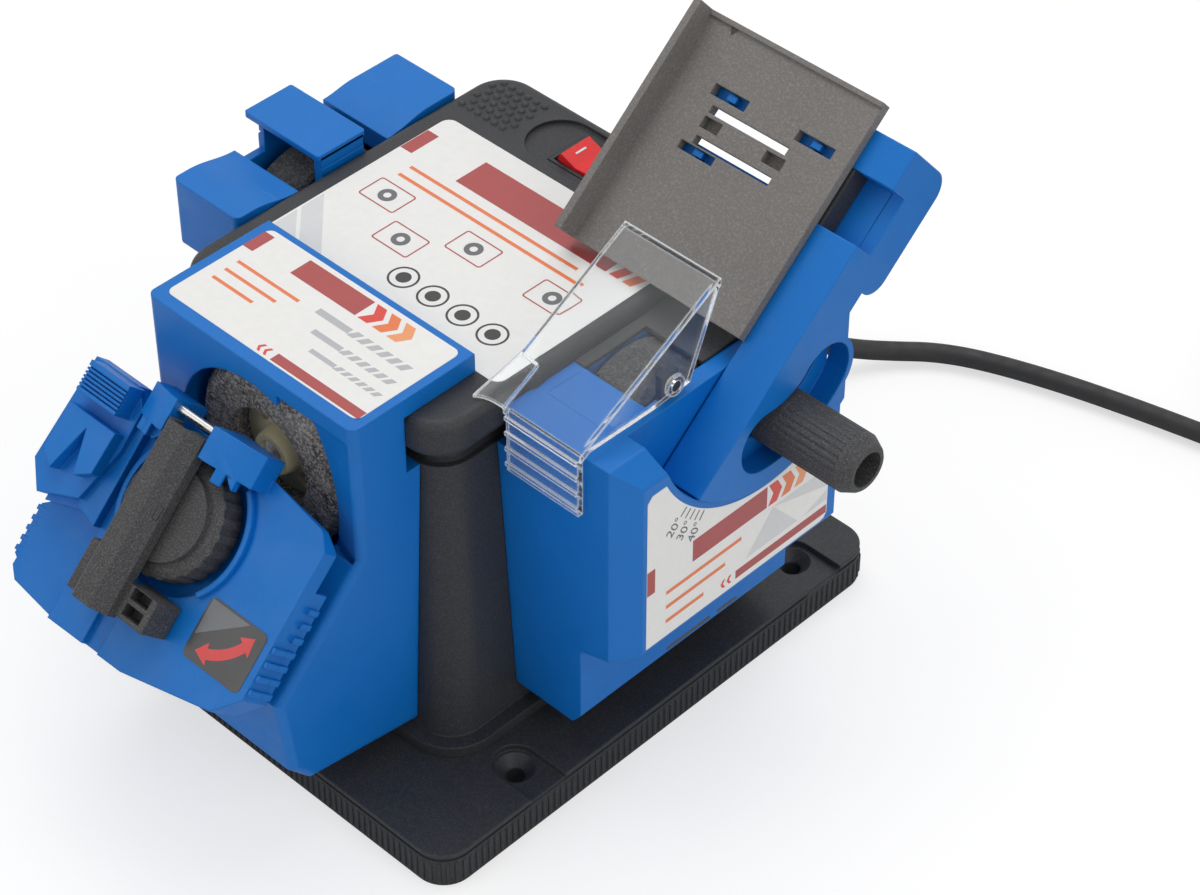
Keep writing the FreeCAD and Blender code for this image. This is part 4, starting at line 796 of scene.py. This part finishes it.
sticker_outline = rounded(15.2, -47.2, 36.0, -30.4, 1.8)
sticker = Label("swing_sticker", CRADLE, sticker_outline, "blue_plastic", "cradle", "ink")
sticker.print_shapes("swing_sticker_shade", [[(15.8, -31), (29.5, -31), (15.8, -41)]], "slate", TINT_RISE)
sticker.print_shapes("swing_arrow", swing_arrow(), "arrow")

# Mark on the chisel table
slab_piece(
    "table_mark", TABLE, [[(28.4, 67.2), (31.2, 67.2), (29.8, 64.8)]], (PAPER_RISE - SINK, PAPER_RISE),
    inks["ink"], "table",
)

# Dash on the rocker
slab_piece(
    "rocker_mark", ROCKER, [rectangle(-3.6, -1.9, -3.0, 1.9)], (2.6, 3.06),
    inks["paper"], "rocker",
)

# Broad chisel wheel that fills its well, dished round the nut, in near-black grit that paints the shade of
# its well
WHEEL_PROFILE = [
    (4.1, 53.8), (23, 53.8), (24, 54.8), (24, 70.9), (23, 71.9), (9, 71.9), (9, 69.3), (4.1, 69.3),
]
WHEEL_STEPS = 96


def draw_wheel(work):
    sections = []
    for i in range(WHEEL_STEPS):
        a = 2 * math.pi * i / WHEEL_STEPS
        section = [WELL.at(r * math.cos(a), r * math.sin(a), x) for r, x in WHEEL_PROFILE]
        sections.append([work.verts.new(point) for point in section])
    for i, section in enumerate(sections):
        join_loops(work, section, sections[(i + 1) % WHEEL_STEPS])


wheel = drawn_piece("broad_wheel", draw_wheel, shaded_dark_grit, "drive")
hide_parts("chisel_wheel")

# Thin plate of the knife bridge on its two legs
KNIFE_SIDE = -49.5
KNIFE_OUTER = -75.0
KNIFE_TOP = 122.6
BRIDGE_TOP = 127.2
BRIDGE_THICK = 1.7
LEGS = ((KNIFE_OUTER + 0.5, KNIFE_OUTER + 2.5), (KNIFE_SIDE - 3, KNIFE_SIDE))


def draw_bridge(work):
    plate = rounded(KNIFE_OUTER - 4, -12.5, KNIFE_SIDE, 4.5, 0.8)
    add_slab(work, BENCH, plate, BRIDGE_TOP - BRIDGE_THICK, BRIDGE_TOP)
    for x0, x1 in LEGS:
        add_slab(work, BENCH, rectangle(x0, -11.5, x1, 3.5), KNIFE_TOP, BRIDGE_TOP - 1.0)


bridge = drawn_piece("thin_bridge", draw_bridge, blue_plastic, "frame")
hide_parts("knife_bridge")

# Knife housing with the two ramps that fall towards the slots
KNIFE_FRONT = -41.5
BLOCK_LOW = 115
BLOCK_ROUND = 2.0
SLOT_FRONT = -20.0
SLOT_REAR = 12.0
RAMP_RUN = 16
RAMP_FALL = 2.4
RAMP_STEPS = 10
RAMP_PAST = 2
RAMP_OVER = 3


def draw_front_block(work):
    """Block in front of the front slot, with its two front corners rounded."""
    outline = rectangle(KNIFE_OUTER, KNIFE_FRONT, KNIFE_SIDE, SLOT_FRONT)
    add_slab(work, BENCH, outline, BLOCK_LOW, KNIFE_TOP)
    corners = []
    for edge in work.edges:
        first, second = (vert.co for vert in edge.verts)
        if abs(first.z - second.z) > MM and first.y < (KNIFE_FRONT + 1) * MM:
            corners.append(edge)
    bmesh.ops.bevel(work, geom=corners, offset=BLOCK_ROUND * MM, segments=5, affect="EDGES", profile=0.5)


def ramp_outline(edge, toward):
    """Side view of what is cut away above a ramp."""
    start = [(edge - toward * RAMP_PAST, KNIFE_TOP - RAMP_FALL)]
    curve = []
    for i in range(RAMP_STEPS + 1):
        share = i / RAMP_STEPS
        fall = RAMP_FALL * (0.5 + 0.5 * math.cos(math.pi * share))
        curve.append((edge + toward * RAMP_RUN * share, KNIFE_TOP - fall))
    above = KNIFE_TOP + RAMP_OVER
    ends = [(edge + toward * RAMP_RUN, above), (edge - toward * RAMP_PAST, above)]
    return start + curve + ends


def ramp_solid(name, edge, toward):
    return slab_solid(name, FLANK, ramp_outline(edge, toward), KNIFE_OUTER - 2, KNIFE_SIDE + 1)


ramped = shaped("knife_shape", nodes["knife_unit_housing"], [
    ("UNION", solid_of("front_block", draw_front_block)),
    ("DIFFERENCE", ramp_solid("front_ramp", SLOT_FRONT, -1)),
    ("DIFFERENCE", ramp_solid("rear_ramp", SLOT_REAR, 1)),
])
knife_housing = new_piece("ramped_housing", ramped, blue_plastic, "frame")
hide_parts("knife_unit_housing")

# Cradle whose two posts fall away from the bar
POST_DEPTH = (-8.0, 6.0)
POST_CUTS = {
    "right_slope": [(0.5, 12.2), (15, 6.2), (15, 16), (0.5, 16)],
    "left_slope": [(-28, 7), (-16.5, 12.2), (-16.5, 16), (-28, 16)],
}
sloped = shaped("cradle_shape", nodes["drill_cradle"], [
    ("DIFFERENCE", slab_solid(name, CRADLE_END, corners, *POST_DEPTH))
    for name, corners in POST_CUTS.items()
])
sloped_cradle = new_piece("sloped_cradle", sloped, blue_plastic, "cradle")
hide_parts("drill_cradle")

# Step between the cradle's side arm and its wing, and the wing's rim
WING_STEP = [(-46, -36.6), (-33.5, -33), (-33.5, -29.8), (-46, -34.4)]
WING_RIM = [(-48.3, -38.4), (-45.8, -36.6), (-45.8, -54.6), (-48.3, -53.2)]
slab_piece("wing_step", CRADLE, [WING_STEP], (-2.6, 0.4), blue_plastic, "cradle")
slab_piece("wing_rim", CRADLE, [WING_RIM], (-6.9, -2.1), blue_plastic, "cradle")

# Small arch on the bar's slope, over the edge of the knob's stud
STUD_ARCH = [
    (-2.83, 13.68), (-2.25, 13.59), (-1.82, 13.1), (-1.8, 12.52),
    (-1.98, 12.69), (-1.95, 13.05), (-2.32, 13.47), (-2.68, 13.48),
]
slab_piece("stud_plug", CRADLE_END, [STUD_ARCH], (17.2, 20.8), knob_plastic, "holder")

# Raised rims beside the knob's pocket in the cradle
POCKET = (-4.0, -19.0)
POCKET_RADIUS = 20.0
RIM_WIDE = 1.5
RIM_TURNS = ((-42, 48), (132, 214))
slab_piece("pocket_rims", CRADLE, [
    band(*POCKET, POCKET_RADIUS + RIM_WIDE, POCKET_RADIUS, turns_between(first, last, 18))
    for first, last in RIM_TURNS
], (-0.1, 1.5), blue_plastic, "cradle")

# Dark seal between the cover and the chisel wheel, and the blue ledge over the front of its well
LEDGE_REAR = -17.0
SEAL = [(49.7, LEDGE_REAR), (53.4, LEDGE_REAR), (53.4, 5), (72.8, 5), (72.8, 30), (49.7, 30)]
LEDGE_OUTLINE = rectangle(52.9, -30, 73.1, LEDGE_REAR)
slab_piece("well_seal", LEDGE, [SEAL], (-0.5, 0.7), black_plastic, "frame")
slab_piece("well_ledge", LEDGE, [LEDGE_OUTLINE], (-1.6, 0.0), blue_plastic, "frame")

# Black sheet that paints the shade inside the pocket in the arm's tail, the pocket's blue floor, and the
# closed end of its curved slot
TAIL_SHADE_SHEET = rectangle(34.4, -19.2, 51.2, -3.6)
TAIL_FLOOR = rectangle(34.4, -19.2, 51.2, -11)
SLOT_END = band(0, 0, 11.0, 9.2, turns_between(-40, 50, 15))
# Painted shade: a black sheet where the inside of the pocket falls in shadow
slab_piece("tail_painted_shade", ARM_SIDE, [TAIL_SHADE_SHEET], (78.6, 79.8), black_plastic, "arm")
slab_piece("tail_floor", ARM_SIDE, [TAIL_FLOOR], (79.8, 88.2), blue_plastic, "arm")
slab_piece("slot_end", ARM_SLOT, [SLOT_END], (85.4, 91.9), blue_plastic, "arm")

# Thin pads that close the two square holes of the table from below
HOLE_PADS = [rectangle(left, 40.2, right, 44.6) for left, right in ((35.4, 42.6), (56.4, 64.0))]
slab_piece("hole_pads", TABLE, HOLE_PADS, (-3.25, -2.95), grey_plastic, "table")

# Guard with the front left corner of its flap, which clears the rounded edge of the cover
FLAP_REAR_LEFT = Vector((44.5, -29.0, 127.43))
FLAP_REAR_RIGHT = Vector((51.0, -29.0, 127.43))
FLAP_FRONT_LEFT = Vector((44.5, -47.2, 123.3))
FLAP_FRONT_RIGHT = Vector((51.0, -42.55, 119.97))
FLAP_CROWN = 1.1
FLAP_THICK = 1.0
FLAP_STEPS = 8


def draw_flap_corner(work):
    """A thin twisted sheet, crowned towards its front."""
    sheets = []
    for drop in (0.0, FLAP_THICK):
        rows = []
        for i in range(FLAP_STEPS + 1):
            front = i / FLAP_STEPS
            left = FLAP_REAR_LEFT.lerp(FLAP_FRONT_LEFT, front)
            right = FLAP_REAR_RIGHT.lerp(FLAP_FRONT_RIGHT, front)
            row = []
            for j in range(FLAP_STEPS + 1):
                share = j / FLAP_STEPS
                rise = 4 * FLAP_CROWN * front * share * (1 - share) - drop
                row.append(work.verts.new((left.lerp(right, share) + Vector((0, 0, rise))) * MM))
            rows.append(row)
        sheets.append(rows)
    top, low = sheets
    last = FLAP_STEPS
    for i in range(last):
        for j in range(last):
            work.faces.new((top[i][j], top[i][j + 1], top[i + 1][j + 1], top[i + 1][j]))
            work.faces.new((low[i][j], low[i + 1][j], low[i + 1][j + 1], low[i][j + 1]))
        work.faces.new((top[i][0], top[i + 1][0], low[i + 1][0], low[i][0]))
        work.faces.new((top[i][last], low[i][last], low[i + 1][last], top[i + 1][last]))
        work.faces.new((top[0][i], low[0][i], low[0][i + 1], top[0][i + 1]))
        work.faces.new((top[last][i], top[last][i + 1], low[last][i + 1], low[last][i]))


whole = shaped("guard_shape", nodes["wheel_guard"], [("UNION", solid_of("flap_corner", draw_flap_corner))])
whole_guard = new_piece("whole_guard", whole, clear_plastic, "guard")
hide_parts("wheel_guard")

# Two narrow slots under the chisel label, drawn as flat black strips of painted shade for their dark
# insides
SLOT_LOW = 50.6
SLOT_HIGH = 51.7
SLOT_SHADE_STRIPS = [rounded(y0, SLOT_LOW, y1, SLOT_HIGH, 0.5) for y0, y1 in ((-25.3, -9.0), (-6.4, 1.2))]
slab_piece("label_slot_shade", CHISEL, SLOT_SHADE_STRIPS, (-SINK, 0.06), inks["ink"], "frame")

# Grip ribs carried up the cradle's right edge
EDGE_RIB_TOPS = (-32, -36, -40, -44)
EDGE_RIBS = [rectangle(38.0, top - 1.6, 39.3, top) for top in EDGE_RIB_TOPS]
slab_piece("edge_ribs", CRADLE, EDGE_RIBS, (-5.2, -0.3), blue_plastic, "cradle")

# Grip pips on the cover
PIP_ROWS = 6
PIP_LEFT = -44.6
PIP_FRONT = 35.4
PIP_PITCH = 3.15
ROW_PITCH = PIP_PITCH * 0.92
PIP_RADIUS = 1.2
PIP_HIGH = 0.7
PIP_SINK = 0.05
PIP_RINGS = 3
PIP_SIDES = 10


def add_dome(work, x, y):
    loops = []
    for k in range(PIP_RINGS):
        tilt = math.pi / 2 * k / PIP_RINGS
        outline = circle(x, y, PIP_RADIUS * math.cos(tilt), PIP_SIDES)
        loops.append(add_loop(work, COVER, outline, PIP_HIGH * math.sin(tilt) - PIP_SINK))
    for lower, upper in zip(loops, loops[1:]):
        join_loops(work, lower, upper)
    top = work.verts.new(COVER.at(x, y, PIP_HIGH - PIP_SINK))
    for i in range(PIP_SIDES):
        work.faces.new((loops[-1][i], loops[-1][(i + 1) % PIP_SIDES], top))


def draw_pips(work):
    """Staggered rows of low domes."""
    for row in range(PIP_ROWS):
        for column in range(PIP_ROWS):
            x = PIP_LEFT + PIP_PITCH * (column + 0.5 * (row % 2))
            add_dome(work, x, PIP_FRONT + ROW_PITCH * row)


pips = drawn_piece("cover_pips", draw_pips, black_plastic, "frame")
for face in pips.data.polygons:
    face.use_smooth = True

# Upright ribs round the edge of the base
BASE_HALF = 76.4
BASE_FRONT = -92.9
BASE_REAR = 74.7
BASE_CORNER = 8.8
RIB_PITCH = 2.2
RIB_LOW = 0.6
RIB_HIGH = 8.2
RIB_RAMP = 0.7
RIB_END = 0.2
RIB_PROFILE = [(-0.62, -0.1), (-0.34, 0.34), (0.0, 0.46), (0.34, 0.34), (0.62, -0.1)]
RIB_LEVELS = (
    (RIB_LOW, RIB_END),
    (RIB_LOW + RIB_RAMP, 1.0),
    (RIB_HIGH - RIB_RAMP, 1.0),
    (RIB_HIGH, RIB_END),
)


def base_walk():
    """Places along the base's edge with the outward direction at each."""
    path = []
    x1 = BASE_HALF - BASE_CORNER
    y0 = BASE_FRONT + BASE_CORNER
    y1 = BASE_REAR - BASE_CORNER
    sides = (
        ((BASE_HALF, y0), (BASE_HALF, y1), 0, (x1, y1)),
        ((x1, BASE_REAR), (-x1, BASE_REAR), 90, (-x1, y1)),
        ((-BASE_HALF, y1), (-BASE_HALF, y0), 180, (-x1, y0)),
        ((-x1, BASE_FRONT), (x1, BASE_FRONT), 270, (x1, y0)),
    )
    for (xa, ya), (xb, yb), facing, (cx, cy) in sides:
        length = math.hypot(xb - xa, yb - ya)
        count = round(length / RIB_PITCH)
        for i in range(count):
            share = (i + 0.5) / count
            path.append((xa + (xb - xa) * share, ya + (yb - ya) * share, math.radians(facing)))
        bends = round(BASE_CORNER * math.pi / 2 / RIB_PITCH)
        for i in range(bends):
            a = math.radians(facing + 90 * (i + 0.5) / bends)
            path.append((cx + BASE_CORNER * math.cos(a), cy + BASE_CORNER * math.sin(a), a))
    return path


def draw_ribs(work):
    """Half-round upright ribs with sloping ends."""
    for x, y, facing in base_walk():
        out = Vector((math.cos(facing), math.sin(facing), 0))
        side = Vector((-out.y, out.x, 0))
        loops = []
        for z, share in RIB_LEVELS:
            centre = Vector((x, y, z))
            loops.append([
                work.verts.new((centre + side * s + out * (r * share if r > 0 else r)) * MM)
                for s, r in RIB_PROFILE
            ])
        for lower, upper in zip(loops, loops[1:]):
            join_loops(work, lower, upper)
        work.faces.new(loops[0])
        work.faces.new(loops[-1])


drawn_piece("base_ribs", draw_ribs, black_plastic, "frame")


# Plain floor and soft studio light
def larger(tree, first, second):
    """The larger of two values in a node tree."""
    node = tree.nodes.new("ShaderNodeMath")
    node.operation = "MAXIMUM"
    tree.links.new(first, node.inputs[0])
    tree.links.new(second, node.inputs[1])
    return node.outputs[0]


FLOOR_GLOW = 0.60
FLOOR_DROP = -0.05
FLOOR_HALF = 6000
WHITE = (1, 1, 1, 1)
floor_shader = Shader("floor_paper")
floor_rays = floor_shader.add("ShaderNodeLightPath").outputs
seen = larger(floor_shader.tree, floor_rays["Is Camera Ray"], floor_rays["Is Transmission Ray"])
floor_shader.set(
    Base_Color=floor_shader.between(seen, (0.90, 0.90, 0.90, 1), (0.48, 0.48, 0.48, 1)),
    Roughness=floor_shader.spread(floor_shader.noise(50, 3), 0.75, 0.85),
    Specular_IOR_Level=0.1,
    Emission_Color=WHITE,
    Emission_Strength=floor_shader.product(seen, FLOOR_GLOW),
)


def draw_floor(work):
    corners = rectangle(-FLOOR_HALF, -FLOOR_HALF, FLOOR_HALF, FLOOR_HALF)
    work.faces.new(add_loop(work, BENCH, corners, FLOOR_DROP))


floor_mesh = mesh_from("floor", draw_floor)
floor_mesh.materials.append(floor_shader.material)
floor = place_in_scene("floor", floor_mesh)

ROOM_FILL = 0.45
ROOM_SEEN = 1.0
world = bpy.data.worlds.new("studio")
bpy.context.scene.world = world
world.use_nodes = True
sky = world.node_tree
background = sky.nodes["Background"]
background.inputs["Color"].default_value = WHITE
rays = sky.nodes.new("ShaderNodeLightPath").outputs
direct = larger(sky, rays["Is Camera Ray"], rays["Is Transmission Ray"])
level = sky.nodes.new("ShaderNodeMapRange")
level.inputs["To Min"].default_value = ROOM_FILL
level.inputs["To Max"].default_value = ROOM_SEEN
sky.links.new(larger(sky, direct, rays["Is Glossy Ray"]), level.inputs["Value"])
sky.links.new(level.outputs["Result"], background.inputs["Strength"])


def softbox(name, place, target, wide, high, power):
    lamp = bpy.data.lights.new(name, "AREA")
    lamp.shape = "RECTANGLE"
    lamp.size = wide
    lamp.size_y = high
    lamp.energy = power
    obj = place_in_scene(name, lamp)
    obj.location = place
    obj.rotation_euler = looking_along(Vector(target) - Vector(place))


softbox("key", (-0.25, 0.25, 1.25), (0, 0, 0.05), 1.1, 0.9, 6.5)
softbox("side", (1.1, -0.1, 0.8), (0, 0, 0.06), 0.8, 0.8, 3.2)
softbox("front", (-0.5, -1.1, 0.7), (0, -0.05, 0.06), 0.8, 0.7, 2.2)

bpy.context.scene.view_settings.view_transform = "Standard"

bpy.context.view_layer.update()
